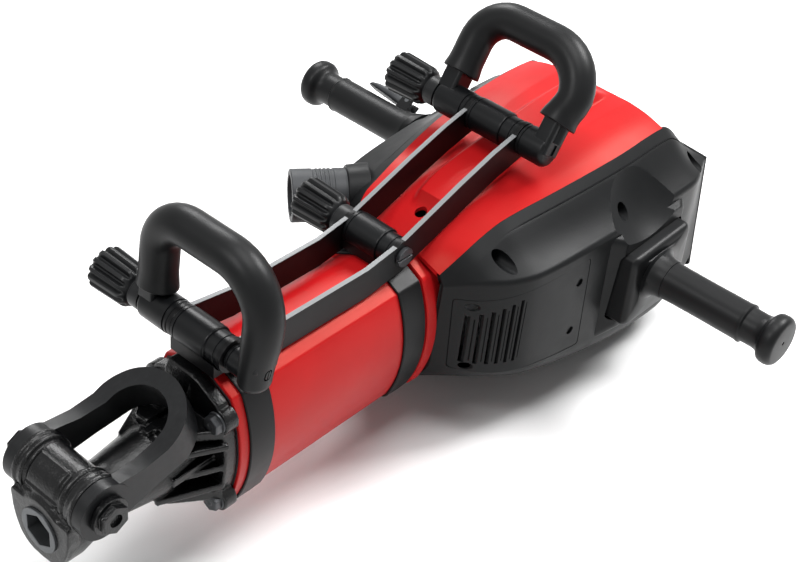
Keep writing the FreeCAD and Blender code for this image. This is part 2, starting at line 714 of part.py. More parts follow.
def case_rooms():
    """The case's three rooms as corner pairs: gears, crank and motor drive."""
    lay_x, lay_z = lay_axis()
    rotor_x, rotor_z = rotor_axis()
    room = lay_wheel_r() + FREE + CASE_WALL
    return [((CASE_BACK_X, MOTOR_FACE_Y, -CASE_HALF_Z), (CASE_BOX_X, CASE_LEFT_Y, CASE_HALF_Z)),
            ((CRANK_ROOM_X, CASE_RIGHT_Y, -CASE_HALF_Z), (CASE_BOX_X, CASE_LEFT_Y, CASE_HALF_Z)),
            ((rotor_x - can_r() - FREE, MOTOR_FACE_Y, rotor_z - can_r() - FREE),
             (lay_x + room, CASE_LEFT_Y, lay_z + room))]


def gear_case():
    """Aluminium case around the crank and the gears, with the cylinder's seat in front."""
    w = CASE_WALL
    boss = cylinder("x", CASE_BOSS_R, CASE_BOX_X, CASE_FRONT_X)
    rooms = [block(low[0], high[0], low[1], high[1], low[2], high[2]) for low, high in case_rooms()]
    hollows = [block(low[0] + w, high[0] - w, low[1] + w, high[1] - w, low[2] + w, high[2] - w)
               for low, high in case_rooms()]
    body = cut(fuse(boss, *rooms), *hollows)
    left = CASE_LEFT_Y - w
    places = bearing_places()[:3]
    lay_x, lay_z = lay_axis()
    rotor_x, rotor_z = rotor_axis()
    seats = [cylinder("y", r + BEARING_WALL + w / 2, start, left, x, z) for r, start, (x, z) in places]
    holes = [cylinder("y", r + BEARING_WALL, start - FREE, left, x, z) for r, start, (x, z) in places]
    shafts = [cylinder("y", r + RUNNING, left - FREE, CASE_LEFT_Y + FREE, x, z)
              for r, start, (x, z) in places]
    face = (MOTOR_FACE_Y - FREE, MOTOR_FACE_Y + w + FREE)
    return cut(fuse(body, *seats),
               cylinder("x", TUBE_R + RUNNING, CASE_BOX_X - 2 * w, CASE_FRONT_X + FREE),
               cylinder("y", LAY_SHAFT_R + RUNNING, *face, lay_x, lay_z),
               cylinder("y", ROTOR_SHAFT_R + FREE, *face, rotor_x, rotor_z), *holes, *shafts)


# Motor

def motor_can():
    """Can around the stator, flanged to the gear case, with the end bearing's seat."""
    x, z = rotor_axis()
    can = cylinder("y", can_r(), MOTOR_END_Y, MOTOR_FACE_Y, x, z)
    hollow = cylinder("y", STATOR_R + RUNNING, MOTOR_END_Y + MOTOR_WALL, MOTOR_FACE_Y + FREE, x, z)
    seat_r = ROTOR_SHAFT_R + BEARING_WALL
    seat = cylinder("y", seat_r + MOTOR_WALL, MOTOR_END_Y, MOTOR_END_Y + MOTOR_WALL + BEARING_WIDTH, x, z)
    pocket_y = MOTOR_END_Y + MOTOR_WALL
    pocket = cylinder("y", seat_r, pocket_y, pocket_y + MOTOR_WALL + BEARING_WIDTH, x, z)
    return cut(fuse(cut(can, hollow), seat), pocket)


def stator():
    x, z = rotor_axis()
    end = MOTOR_FACE_Y - BRUSH
    return ring("y", STATOR_R, STATOR_BORE_R, end - STATOR_LENGTH, end, x, z)


def rotor_core():
    """Laminated core and winding ends on the shaft."""
    x, z = rotor_axis()
    end = MOTOR_FACE_Y - BRUSH - FREE
    return ring("y", ROTOR_R, ROTOR_SHAFT_R, end - ROTOR_LENGTH, end, x, z)


def commutator():
    x, z = rotor_axis()
    end = MOTOR_FACE_Y - BRUSH - FREE - ROTOR_LENGTH
    return ring("y", COMMUTATOR_R, ROTOR_SHAFT_R, end - COMMUTATOR_LENGTH, end, x, z)


def brushes():
    """Two carbon brushes in line with the commutator."""
    x, z = rotor_axis()
    end = MOTOR_FACE_Y - BRUSH - FREE - ROTOR_LENGTH
    middle = end - COMMUTATOR_LENGTH / 2
    pair = []
    for side in (-1, 1):
        near = x + side * (COMMUTATOR_R + SEAT)
        far = x + side * (STATOR_R - SEAT)
        pair.append(block(min(near, far), max(near, far), middle - BRUSH / 2, middle + BRUSH / 2,
                          z - BRUSH / 2, z + BRUSH / 2))
    return Part.makeCompound(pair)


# Rails and cross tubes

def rail_centre():
    """Centre line of a rail from the front cross tube to the rear one, as X and Z."""
    front_drop, mid_drop, rear_drop = RAIL_DROPS
    return [(FRONT_TUBE_X, FRONT_TUBE_Z - front_drop), *RAIL_FRONT_BENDS, (MID_TUBE_X, MID_TUBE_Z - mid_drop),
            *RAIL_REAR_BENDS, (REAR_TUBE_X, REAR_TUBE_Z - rear_drop)]


def ribbon(line, width):
    """Closed outline of a bar of constant width along a bent centre line."""
    normals = []
    for i in range(len(line)):
        a, b = line[max(i - 1, 0)], line[i]
        c = line[min(i + 1, len(line) - 1)]
        before = V(b[0] - a[0], b[1] - a[1], 0)
        after = V(c[0] - b[0], c[1] - b[1], 0)
        before = (before if before.Length else after).normalize()
        after = (after if after.Length else before).normalize()
        middle = V(-before.y - after.y, before.x + after.x, 0).normalize()
        stretch = width / 2 / middle.dot(V(-before.y, before.x, 0))
        normals.append((middle.x * stretch, middle.y * stretch))
    upper = [(p[0] + n[0], p[1] + n[1]) for p, n in zip(line, normals)]
    lower = [(p[0] - n[0], p[1] - n[1]) for p, n in zip(line, normals)]
    return upper + lower[::-1]


def tube_places():
    return [(FRONT_TUBE_X, FRONT_TUBE_Z), (MID_TUBE_X, MID_TUBE_Z), (REAR_TUBE_X, REAR_TUBE_Z)]


def rail():
    """Flat steel rail on the user's left; the other is its mirror image."""
    bar = prism(ribbon(rail_centre(), RAIL_HEIGHT), "y", RAIL_Y, RAIL_Y + RAIL_THICK)
    eyes = [cylinder("y", RAIL_EYE_R, RAIL_Y, RAIL_Y + RAIL_THICK, x, z) for x, z in tube_places()]
    holes = [cylinder("y", CROSS_BOLT_R + RUNNING, RAIL_Y - FREE, RAIL_Y + RAIL_THICK + FREE, x, z)
             for x, z in tube_places()]
    return cut(fuse(bar, *eyes), *holes)


def lug_start():
    return RAIL_Y + RAIL_THICK + SEAT


def cross_tubes():
    """The three tubes between the rails."""
    return Part.makeCompound([ring("y", CROSS_TUBE_R, CROSS_BORE_R, -RAIL_Y, RAIL_Y, x, z)
                              for x, z in tube_places()])


def cross_bolt(x, z, near_y, knob_y):
    """Bolt along a cross tube, with a slotted head on the left; knob_y is where the knob's neck starts."""
    shank = cylinder("y", CROSS_BOLT_R, knob_y - KNOB_GRIP_DEPTH, near_y, x, z)
    head = cylinder("y", BOLT_HEAD_R, near_y, near_y + BOLT_HEAD, x, z)
    slot = block(x - BOLT_HEAD_R, x + BOLT_HEAD_R, near_y + BOLT_HEAD / 2, near_y + BOLT_HEAD + FREE,
                 z - BOLT_SLOT / 2, z + BOLT_SLOT / 2)
    return cut(fuse(shank, head), slot)


def knob(x, z, start_y):
    """Fluted clamping knob on the right, screwed onto the cross bolt."""
    neck_end = start_y - KNOB_NECK
    shoulder = neck_end - KNOB_SHOULDER
    end = neck_end - KNOB_LENGTH
    neck = cylinder("y", KNOB_NECK_R, start_y, neck_end, x, z)
    taper = cone("y", neck_end, KNOB_NECK_R, shoulder, KNOB_SHOULDER_R, x, z)
    body = cone("y", shoulder, KNOB_SHOULDER_R, end, KNOB_R, x, z)
    flutes = []
    for i in range(KNOB_LOBES):
        fx, fz = polar(x, z, KNOB_R + KNOB_FLUTE_R / 2, 360 * i / KNOB_LOBES)
        flutes.append(cylinder("y", KNOB_FLUTE_R, neck_end - FREE, end - FREE, fx, fz))
    bore = cylinder("y", CROSS_BOLT_R + RUNNING, start_y + FREE, start_y - KNOB_GRIP_DEPTH - FREE, x, z)
    return cut(fuse(neck, taper, body), bore, *flutes)


# Carrying handles

def handle_path(x, z, foot):
    """Centre line of an upright carrying handle, starting `foot` above the cross bolt."""
    top = z + HANDLE_RISE
    bend = HANDLE_BEND
    diagonal = bend * (1 - math.sqrt(0.5))
    left = [V(x, HANDLE_HALF, z + foot), V(x, HANDLE_HALF, top - bend),
            V(x, HANDLE_HALF - diagonal, top - diagonal), V(x, HANDLE_HALF - bend, top)]
    right = [V(p.x, -p.y, p.z) for p in left]
    return Part.Wire([Part.LineSegment(left[0], left[1]).toShape(),
                      Part.Arc(left[1], left[2], left[3]).toShape(),
                      Part.LineSegment(left[3], right[3]).toShape(),
                      Part.Arc(right[3], right[2], right[1]).toShape(),
                      Part.LineSegment(right[1], right[0]).toShape()])


def pipe(path, radius):
    start = path.Vertexes[0].Point
    circle = Part.Wire(Part.makeCircle(radius, start, Z_AXIS))
    return path.makePipeShell([circle], True, False)


def handle_frame(x, z, lean):
    """Steel hoop with a lug at each foot; the left lug takes the bolt's head."""
    hoop = pipe(handle_path(x, z, HANDLE_LUG_R / 2), HANDLE_ROD_R)
    lugs = [cylinder("y", HANDLE_LUG_R, side * lug_start(), side * HANDLE_LUG_END, x, z) for side in (-1, 1)]
    bore = cylinder("y", CROSS_BOLT_R + RUNNING, -HANDLE_LUG_END - FREE, HANDLE_LUG_END + FREE, x, z)
    pocket = cylinder("y", BOLT_HEAD_R + SEAT, handle_head_y(), HANDLE_LUG_END + FREE, x, z)
    return spun(cut(fuse(hoop, *lugs), bore, pocket), x, z, -lean)


def handle_head_y():
    """Where the head of a carrying handle's bolt starts, inside its pocket."""
    return HANDLE_LUG_END - BOLT_HEAD - FREE


def handle_grip(x, z, lean):
    path = handle_path(x, z, HANDLE_BARE)
    return spun(pipe(path, HANDLE_GRIP_R).cut(pipe(path, HANDLE_ROD_R)), x, z, -lean)


# Motor housing

def half_outline(row):
    """(y, z) corners of a station's left half, from the roof down to the keel."""
    return [(y, z) for z, y in row[1:]]


def outline(row):
    left = half_outline(row)
    return left + [(-y, z) for y, z in reversed(left)]


def inset(corners, distance):
    """Move each side of a closed outline inwards by a distance; the corners run clockwise seen from -X."""
    moved = []
    count = len(corners)
    for i, (y, z) in enumerate(corners):
        before = V(y - corners[i - 1][0], z - corners[i - 1][1], 0).normalize()
        after = V(corners[(i + 1) % count][0] - y, corners[(i + 1) % count][1] - z, 0).normalize()
        normal_before = V(before.y, -before.x, 0)
        normal_after = V(after.y, -after.x, 0)
        middle = (normal_before + normal_after).normalize()
        stretch = distance / middle.dot(normal_before)
        moved.append((y + middle.x * stretch, z + middle.y * stretch))
    return moved


def shell(first, last, rows=STATIONS, joint=SEAT):
    """Cover between two corners of the housing's outline, lofted through the stations."""
    wires = []
    count = 2 * len(half_outline(rows[0]))
    for row in rows:
        outer = outline(row)
        inner = inset(outer, COVER_WALL)
        picks = [i % count for i in range(first, last + 1)]
        outer = shortened([outer[i] for i in picks], joint / 2)
        inner = shortened([inner[i] for i in picks], joint / 2)
        corners = [V(row[0], y, z) for y, z in outer + inner[::-1]]
        wires.append(Part.makePolygon(corners + corners[:1]))
    return Part.makeLoft(wires, True, True)


def shortened(line, length):
    """Draw both ends of an open line back along it."""
    line = list(line)
    for end, neighbour in ((0, 1), (-1, -2)):
        a, b = V(*line[end], 0), V(*line[neighbour], 0)
        moved = a + (b - a).normalize() * length
        line[end] = (moved.x, moved.y)
    return line


def boot_window(side):
    """Opening for a grip boot, with room for the grip's travel."""
    room = GRIP_TRAVEL + FREE
    near, far = sorted((side * (BOOT_IN_Y - 2 * COVER_WALL), side * BOOT_FACE_Y))
    return block(BOOT_X - BOOT_HALF_X - room, BOOT_X + BOOT_HALF_X + room, near, far,
                 BOOT_Z - BOOT_HALF_Z - FREE, BOOT_Z + BOOT_HALF_Z + FREE)


def vent_window(margin=0.0):
    return block(VENT_REAR_X + margin, VENT_FRONT_X - margin, VENT_IN_Y, BOOT_FACE_Y,
                 VENT_BOTTOM_Z + margin, VENT_TOP_Z - margin)


def housing_block():
    """The housing's whole outline filled, to bound what is built inside the covers."""
    wires = []
    for row in STATIONS:
        corners = [V(row[0], y, z) for y, z in outline(row)]
        wires.append(Part.makePolygon(corners + corners[:1]))
    return Part.makeLoft(wires, True, True)


def top_cover():
    """Top cover with its raised spine and a small hole in front of it."""
    roof = [(row[0], row[1][0]) for row in STATIONS[:-1]]
    front_z = height_on(roof, SPINE_FRONT_X)
    behind = [(x, z + SPINE_RISE) for x, z in roof if x < SPINE_FRONT_X - SPINE_STEP]
    step_x = SPINE_FRONT_X - SPINE_STEP
    crest = [(step_x, height_on(roof, step_x) + SPINE_RISE)] + behind
    floor = [(x, z - SPINE_RISE - COVER_WALL) for x, z in reversed(crest)]
    spine = prism([(SPINE_FRONT_X, front_z - SEAT)] + crest + floor, "y", -SPINE_HALF_Y, SPINE_HALF_Y)
    low = [(x, z - COVER_WALL) for x, z in crest]
    low[-1] = (crest[-1][0] + COVER_WALL, low[-1][1])
    deep = [(x, z - SPINE_RISE - COVER_WALL) for x, z in reversed(low)]
    half = SPINE_HALF_Y - COVER_WALL
    hollow = prism(low + deep, "y", -half, half)
    hole = cylinder("z", TOP_HOLE_R, 0, STATIONS[-2][1][0], TOP_HOLE_X, 0)
    return cut(fuse(shell(8, 11, STATIONS[:-1]), spine), hollow, hole)


def height_on(line, x):
    """Height of a line given as (x, z) points from front to rear."""
    for (front, z0), (rear, z1) in zip(line, line[1:]):
        if rear <= x <= front:
            return z0 + (z1 - z0) * (front - x) / (front - rear)
    return line[-1][1]


def tail_cover():
    """Dark cap behind the top cover, sloping down to the rear plate."""
    cap = shell(8, 11, STATIONS[-2:])
    start = STATIONS[-2][0]
    return cut(cap, block(start - SEAT, start + SEAT, -BOOT_FACE_Y, BOOT_FACE_Y, 0, BOOT_FACE_Y))


def mound(shrink=0.0):
    """Raised seat around the left grip boot; shrunk, it is the room inside the seat."""
    wires = []
    for corners, y in ((MOUND_ROOT, MOUND_ROOT_Y), (MOUND_FACE, MOUND_FACE_Y)):
        middle_x = sum(x for x, z in corners) / len(corners)
        middle_z = sum(z for x, z in corners) / len(corners)
        places = [V(x - math.copysign(shrink, x - middle_x), y - shrink,
                    z - math.copysign(shrink, z - middle_z)) for x, z in corners]
        wires.append(Part.makePolygon(places + places[:1]))
    return Part.makeLoft(wires, True, True)


def side_cover(wells):
    """Left cover with the dish, the screw wells, the boot's raised seat and its opening."""
    bound = fuse(housing_block(), mound())
    dish = [Part.makeSphere(DISH_R + wall, V(DISH_X, DISH_Y, DISH_Z)) for wall in (0, COVER_WALL)]
    cups = [cylinder("y", r + WELL_WALL, y - WELL_WALL, MOUND_FACE_Y, x, z) for x, y, z, r in wells]
    bores = [cylinder("y", r, y, 2 * MOUND_FACE_Y, x, z) for x, y, z, r in wells]
    skin = cut(fuse(shell(1, 4), mound()), mound(COVER_WALL))
    lining = fuse(dish[1], *cups).common(bound)
    return cut(fuse(skin, lining), dish[0], *bores, boot_window(1))


def left_cover():
    return cut(side_cover((FRONT_WELL, DISH_WELL, REAR_WELL)), vent_window())


def right_cover():
    return cut(mirrored(side_cover((DISH_WELL, REAR_WELL))), inlet_body(SEAT))


def base_pan():
    return shell(4, 5)


def rear_plate():
    row = STATIONS[-1]
    return prism(outline(row), "x", row[0], row[0] - REAR_PLATE)


def rear_panel():
    x = STATIONS[-1][0] - REAR_PLATE
    corners = rectangle(-PANEL_HALF_Y, PANEL_HALF_Y, PANEL_Z - PANEL_HALF_Z, PANEL_Z + PANEL_HALF_Z)
    return rounded_prism(corners, PANEL_ROUND, "x", x, x - PANEL)


def vent_panel():
    """Removable grille panel in the left cover."""
    panel = shell(1, 4).common(vent_window(SEAT))
    middle = (VENT_TOP_Z + VENT_BOTTOM_Z) / 2
    slots = []
    for i in range(VENT_SLOTS):
        x = VENT_FRONT_X - VENT_PITCH * (i + 1.5)
        slots.append(block(x - VENT_SLOT / 2, x + VENT_SLOT / 2, VENT_IN_Y, BOOT_FACE_Y,
                           middle - VENT_SLOT_HEIGHT / 2, middle + VENT_SLOT_HEIGHT / 2))
    return cut(panel, *slots, *panel_screw_holes())


def side_wall_y(x, z):
    """Outer face of the left cover at a place between two stations."""
    for front, rear in zip(STATIONS, STATIONS[1:]):
        if rear[0] <= x <= front[0]:
            t = (front[0] - x) / (front[0] - rear[0])
            crease = [a + (b - a) * t for a, b in zip(front[3], rear[3])]
            low = [a + (b - a) * t for a, b in zip(front[4], rear[4])]
            return crease[1] + (low[1] - crease[1]) * (crease[0] - z) / (crease[0] - low[0])
    return STATIONS[-1][3][1]


def panel_screw_places():
    x = VENT_REAR_X + 3 * SCREW_R
    return [(x, side_wall_y(x, z), z) for z in (VENT_TOP_Z - 4 * SCREW_R, VENT_BOTTOM_Z + 4 * SCREW_R)]


def panel_screw_holes():
    return [cylinder("y", SCREW_R + RUNNING, y - COVER_WALL / 2, y + COVER_WALL, x, z)
            for x, y, z in panel_screw_places()]


def panel_screws():
    return Part.makeCompound([cylinder("y", SCREW_R, y - COVER_WALL / 2, y, x, z)
                              for x, y, z in panel_screw_places()])


# Main grips

def handlebar():
    """Steel tube through the housing that carries both grips."""
    end = GRIP_HALF_SPAN - GRIP_FLANGE / 2
    return ring("y", GRIP_TUBE_R, GRIP_TUBE_R - GRIP_TUBE_WALL, -end, end, GRIP_X, GRIP_Z)


def handlebar_guide(face_y, side):
    """Slotted plate on the gear case in which the handlebar slides."""
    near, far = sorted((face_y, face_y + side * GUIDE_THICK))
    plate = block(GRIP_X - GUIDE_REAR, CRANK_ROOM_X + CASE_WALL, near, far,
                  GRIP_Z - GUIDE_HALF_Z, GRIP_Z + GUIDE_HALF_Z)
    slot = fuse(*[cylinder("y", GRIP_TUBE_R + RUNNING, near - FREE, far + FREE, GRIP_X + shift, GRIP_Z)
                  for shift in (-GRIP_TRAVEL, GRIP_TRAVEL)],
                block(GRIP_X - GRIP_TRAVEL, GRIP_X + GRIP_TRAVEL, near - FREE, far + FREE,
                      GRIP_Z - GRIP_TUBE_R - RUNNING, GRIP_Z + GRIP_TUBE_R + RUNNING))
    return cut(plate, slot)


def handlebar_guides():
    return Part.makeCompound([handlebar_guide(CASE_LEFT_Y, 1), handlebar_guide(CASE_RIGHT_Y, -1)])


def grip_boot():
    """Rubber boot at the root of the left grip."""
    corners = rectangle(BOOT_X - BOOT_HALF_X, BOOT_X + BOOT_HALF_X,
                        BOOT_Z - BOOT_HALF_Z, BOOT_Z + BOOT_HALF_Z)
    base = rounded_prism(corners, BOOT_ROUND, "y", BOOT_IN_Y, BOOT_FACE_Y)
    flare = cone("y", BOOT_FACE_Y, BOOT_CONE_R, BOOT_END_Y, GRIP_R, GRIP_X, GRIP_Z)
    bore = cylinder("y", GRIP_TUBE_R, BOOT_IN_Y - FREE, BOOT_END_Y + FREE, GRIP_X, GRIP_Z)
    return cut(fuse(base, flare), bore)


def grip_sleeve():
    """Rubber sleeve of the left grip, with its collar and end flange."""
    def barrel(radius, start, end):
        return cylinder("y", radius, start, end, GRIP_X, GRIP_Z)
    flange_y = GRIP_HALF_SPAN - GRIP_FLANGE
    waist_y = flange_y - GRIP_WAIST
    body = fuse(barrel(GRIP_R, BOOT_END_Y, waist_y - GRIP_COLLAR),
                barrel(GRIP_COLLAR_R, waist_y - GRIP_COLLAR, waist_y),
                barrel(GRIP_WAIST_R, waist_y, flange_y),
                barrel(GRIP_FLANGE_R, flange_y, GRIP_HALF_SPAN))
    return cut(body, barrel(GRIP_TUBE_R, BOOT_END_Y - FREE, GRIP_HALF_SPAN - GRIP_FLANGE / 2))


def around_grip(shape):
    """Turn a piece made above the right grip to the lever's place behind it."""
    return spun(shape, GRIP_X, GRIP_Z, LEVER_TILT - 90)


def lever_pin_z():
    return GRIP_Z + GRIP_R + LEVER_GAP + LEVER_THICK / 2


def lever_bracket():
    """Two ears on the right grip that hold the lever's pin."""
    inner = LEVER_WIDTH / 2 + SEAT
    half = LEVER_EAR_LENGTH / 2
    bottom = GRIP_Z + GRIP_R - LEVER_EAR
    top = GRIP_Z + GRIP_R + LEVER_GAP + LEVER_THICK
    pieces = [block(GRIP_X - inner - LEVER_EAR, GRIP_X + inner + LEVER_EAR, -LEVER_START_Y - half,
                    -LEVER_START_Y + half, bottom, GRIP_Z + GRIP_R + LEVER_EAR)]
    for side in (-1, 1):
        near, far = sorted((GRIP_X + side * inner, GRIP_X + side * (inner + LEVER_EAR)))
        pieces.append(block(near, far, -LEVER_START_Y - half, -LEVER_START_Y + half, bottom, top))
    hole = cylinder("x", LEVER_PIN_R, GRIP_X - LEVER_WIDTH, GRIP_X + LEVER_WIDTH,
                    -LEVER_START_Y, lever_pin_z())
    grip = cylinder("y", GRIP_R, -LEVER_START_Y - LEVER_LENGTH, -BOOT_FACE_Y, GRIP_X, GRIP_Z)
    return around_grip(cut(fuse(*pieces), hole, grip))


def lever_pin():
    reach = LEVER_WIDTH / 2 + SEAT + LEVER_EAR
    pin = cylinder("x", LEVER_PIN_R, GRIP_X - reach, GRIP_X + reach, -LEVER_START_Y, lever_pin_z())
    return around_grip(pin)


def switch_lever():
    """Squeeze lever that works the switch through the grip."""
    bottom = GRIP_Z + GRIP_R + LEVER_GAP
    half = LEVER_WIDTH / 2
    root = cylinder("x", LEVER_THICK / 2, GRIP_X - half, GRIP_X + half, -LEVER_START_Y, lever_pin_z())
    paddle = block(GRIP_X - half, GRIP_X + half, -LEVER_START_Y - LEVER_LENGTH, -LEVER_START_Y,
                   bottom, bottom + LEVER_THICK)
    bore = cylinder("x", LEVER_PIN_R + RUNNING, GRIP_X - LEVER_WIDTH, GRIP_X + LEVER_WIDTH,
                    -LEVER_START_Y, lever_pin_z())
    return around_grip(cut(fuse(root, paddle), bore))


# Power inlet

def turned_inlet(shape):
    """Turn a piece made along -Y from the inlet's root into place."""
    copy = shape.copy()
    copy.rotate(V(0, 0, 0), Z_AXIS, INLET_ANGLE)
    copy.translate(V(INLET_X, INLET_Y, INLET_Z))
    return copy


def inlet_body(margin=0.0):
    return turned_inlet(cylinder("y", INLET_R + margin, -INLET_LENGTH, 0))


def power_inlet():
    """Ribbed socket housing for a lead, open at its outer end."""
    recess = cylinder("y", INLET_R - INLET_WALL, -INLET_LENGTH - FREE, -INLET_LENGTH / 3)
    body = inlet_body().cut(turned_inlet(recess))
    grooves = []
    for i in range(INLET_RIBS):
        y = -INLET_LENGTH + INLET_WALL * (1 + 2 * i)
        grooves.append(turned_inlet(ring("y", INLET_R + FREE, INLET_R - INLET_WALL / 3, y, y + INLET_WALL)))
    return cut(body, *grooves)


def inlet_pins():
    """Three contact pins standing in the inlet's recess."""
    floor = -INLET_LENGTH / 3
    pins = []
    for i in range(3):
        a, b = polar(0, 0, INLET_R / 3, 90 + 120 * i)
        pins.append(turned_inlet(cylinder("y", INLET_WALL / 2, floor - INLET_LENGTH / 3, floor, a, b)))
    return Part.makeCompound(pins)


def fan():
    """Cooling fan between the stator and the gear case."""
    x, z = rotor_axis()
    end = MOTOR_FACE_Y - FREE
    hub = ring("y", FAN_HUB_R, ROTOR_SHAFT_R, end - FAN_WIDTH, end, x, z)
    blades = []
    for i in range(FAN_BLADES):
        blade = block(x + FAN_HUB_R - FREE, x + FAN_R, end - FAN_WIDTH, end,
                      z - FAN_BLADE / 2, z + FAN_BLADE / 2)
        blades.append(spun(blade, x, z, 360 * i / FAN_BLADES))
    return fuse(hub, *blades)


def pieces():
    """Every sub-part by its node name."""
    front, mid, rear = tube_places()
    rail_outer = RAIL_Y + RAIL_THICK
    handle_knob = -HANDLE_LUG_END - SEAT
    mid_knob = -rail_outer - SEAT
    return {
        "nose_casting": nose_casting(), "tool_bushing": tool_bushing(), "nose_bolts": nose_bolts(),
        "retainer_yoke": yoke(), "yoke_bolt": yoke_bolt(), "yoke_nut": yoke_nut(),
        "barrel_cover": barrel_cover(), "cylinder_tube": cylinder_tube(),
        "front_band": band(FRONT_BAND_X, *front), "rear_band": band(REAR_BAND_X, *mid),
        "anvil": anvil(), "striker": striker(), "piston": piston(), "wrist_pin": wrist_pin(),
        "connecting_rod": connecting_rod(), "crank_pin": crank_pin(), "crank_gear": crank_gear(),
        "layshaft": layshaft(), "bearings": bearings(), "gear_case": gear_case(),
        "motor_can": motor_can(), "stator": stator(), "brushes": brushes(), "fan": fan(),
        "rotor_shaft": rotor_shaft(), "rotor_core": rotor_core(), "commutator": commutator(),
        "left_rail": rail(), "right_rail": mirrored(rail()), "cross_tubes": cross_tubes(),
        "front_cross_bolt": cross_bolt(*front, handle_head_y(), handle_knob),
        "mid_cross_bolt": cross_bolt(*mid, rail_outer, mid_knob),
        "rear_cross_bolt": cross_bolt(*rear, handle_head_y(), handle_knob),
        "front_knob": knob(*front, handle_knob), "mid_knob": knob(*mid, mid_knob),
        "rear_knob": knob(*rear, handle_knob),
        "front_handle_frame": handle_frame(*front, FRONT_LEAN),
        "front_handle_grip": handle_grip(*front, FRONT_LEAN),
        "rear_handle_frame": handle_frame(*rear, REAR_LEAN),
        "rear_handle_grip": handle_grip(*rear, REAR_LEAN),
        "top_cover": top_cover(), "tail_cover": tail_cover(), "left_cover": left_cover(),
        "right_cover": right_cover(), "base_pan": base_pan(), "rear_plate": rear_plate(),
        "rear_panel": rear_panel(), "vent_panel": vent_panel(), "panel_screws": panel_screws(),
        "handlebar": handlebar(), "handlebar_guides": handlebar_guides(),
        "left_grip_boot": grip_boot(), "right_grip_boot": mirrored(grip_boot()),
        "left_grip_sleeve": grip_sleeve(), "right_grip_sleeve": mirrored(grip_sleeve()),
        "switch_lever": switch_lever(), "lever_pin": lever_pin(), "lever_bracket": lever_bracket(),
        "power_inlet": power_inlet(), "inlet_pins": inlet_pins(),
    }


def main():
    os.makedirs("parts", exist_ok=True)
    for name, shape in pieces().items():
        save(name, shape)


main()
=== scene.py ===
"""Looks of the heavy breaker: its shaped meshes, finishes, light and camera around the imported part."""

import json
import logging
import math
from dataclasses import dataclass
from enum import Enum
from typing import Callable, Sequence

import bmesh
import bpy
from mathutils import Matrix, Vector

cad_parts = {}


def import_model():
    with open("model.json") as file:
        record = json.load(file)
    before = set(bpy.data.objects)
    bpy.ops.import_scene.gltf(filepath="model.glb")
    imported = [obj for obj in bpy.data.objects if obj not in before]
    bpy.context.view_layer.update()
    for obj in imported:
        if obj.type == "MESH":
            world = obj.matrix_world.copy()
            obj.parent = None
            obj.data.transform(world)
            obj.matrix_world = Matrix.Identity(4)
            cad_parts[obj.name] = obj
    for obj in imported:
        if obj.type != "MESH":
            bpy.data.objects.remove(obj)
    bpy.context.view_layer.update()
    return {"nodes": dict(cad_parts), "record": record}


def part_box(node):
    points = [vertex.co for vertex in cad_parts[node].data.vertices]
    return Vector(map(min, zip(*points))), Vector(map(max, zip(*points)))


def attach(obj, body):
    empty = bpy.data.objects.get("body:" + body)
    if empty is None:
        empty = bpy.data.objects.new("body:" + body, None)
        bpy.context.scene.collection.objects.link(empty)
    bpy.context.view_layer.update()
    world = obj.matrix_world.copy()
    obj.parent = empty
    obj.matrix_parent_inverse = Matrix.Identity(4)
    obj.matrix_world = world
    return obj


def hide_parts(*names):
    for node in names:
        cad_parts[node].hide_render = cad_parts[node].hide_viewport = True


logging.basicConfig(level=logging.INFO, format="%(message)s")
LOG = logging.getLogger("breaker")
MM = 0.001
MOST_WEIGHTED_FACES = 60000  # meshes finer than this keep plain smooth normals
Colour = tuple[float, float, float]
Pair = tuple[float, float]
Triple = tuple[float, float, float]


# Shader building

class Signal:
    """A socket of a node tree that takes part in arithmetic."""

    def __init__(self, nodes: "Nodes", socket: bpy.types.NodeSocket) -> None:
        """Wrap a node's output socket."""
        self.nodes = nodes
        self.socket = socket

    def _maths(self, operation: str, *values: "Signal | float") -> "Signal":
        """Add a Math node on the given values."""
        node = self.nodes.node("ShaderNodeMath", {"operation": operation}, dict(enumerate(values)))
        return Signal(self.nodes, node.outputs[0])

    def __add__(self, other: "Signal | float") -> "Signal":
        """Sum."""
        return self._maths("ADD", self, other)

    def __radd__(self, other: float) -> "Signal":
        """Sum with a number on the left."""
        return self._maths("ADD", other, self)

    def __sub__(self, other: "Signal | float") -> "Signal":
        """Difference."""
        return self._maths("SUBTRACT", self, other)

    def __rsub__(self, other: float) -> "Signal":
        """Difference from a number on the left."""
        return self._maths("SUBTRACT", other, self)

    def __mul__(self, other: "Signal | float") -> "Signal":
        """Product."""
        return self._maths("MULTIPLY", self, other)

    def __rmul__(self, other: float) -> "Signal":
        """Product with a number on the left."""
        return self._maths("MULTIPLY", other, self)

    def either(self, other: "Signal") -> "Signal":
        """The greater of two values."""
        return self._maths("MAXIMUM", self, other)

    def between(self, low: float, high: float) -> "Signal":
        """Stretch the span from low to high onto 0 to 1, without going past either."""
        node = self.nodes.node("ShaderNodeMapRange", {"clamp": True},
                               {"Value": self, "From Min": low, "From Max": high})
        return Signal(self.nodes, node.outputs[0])


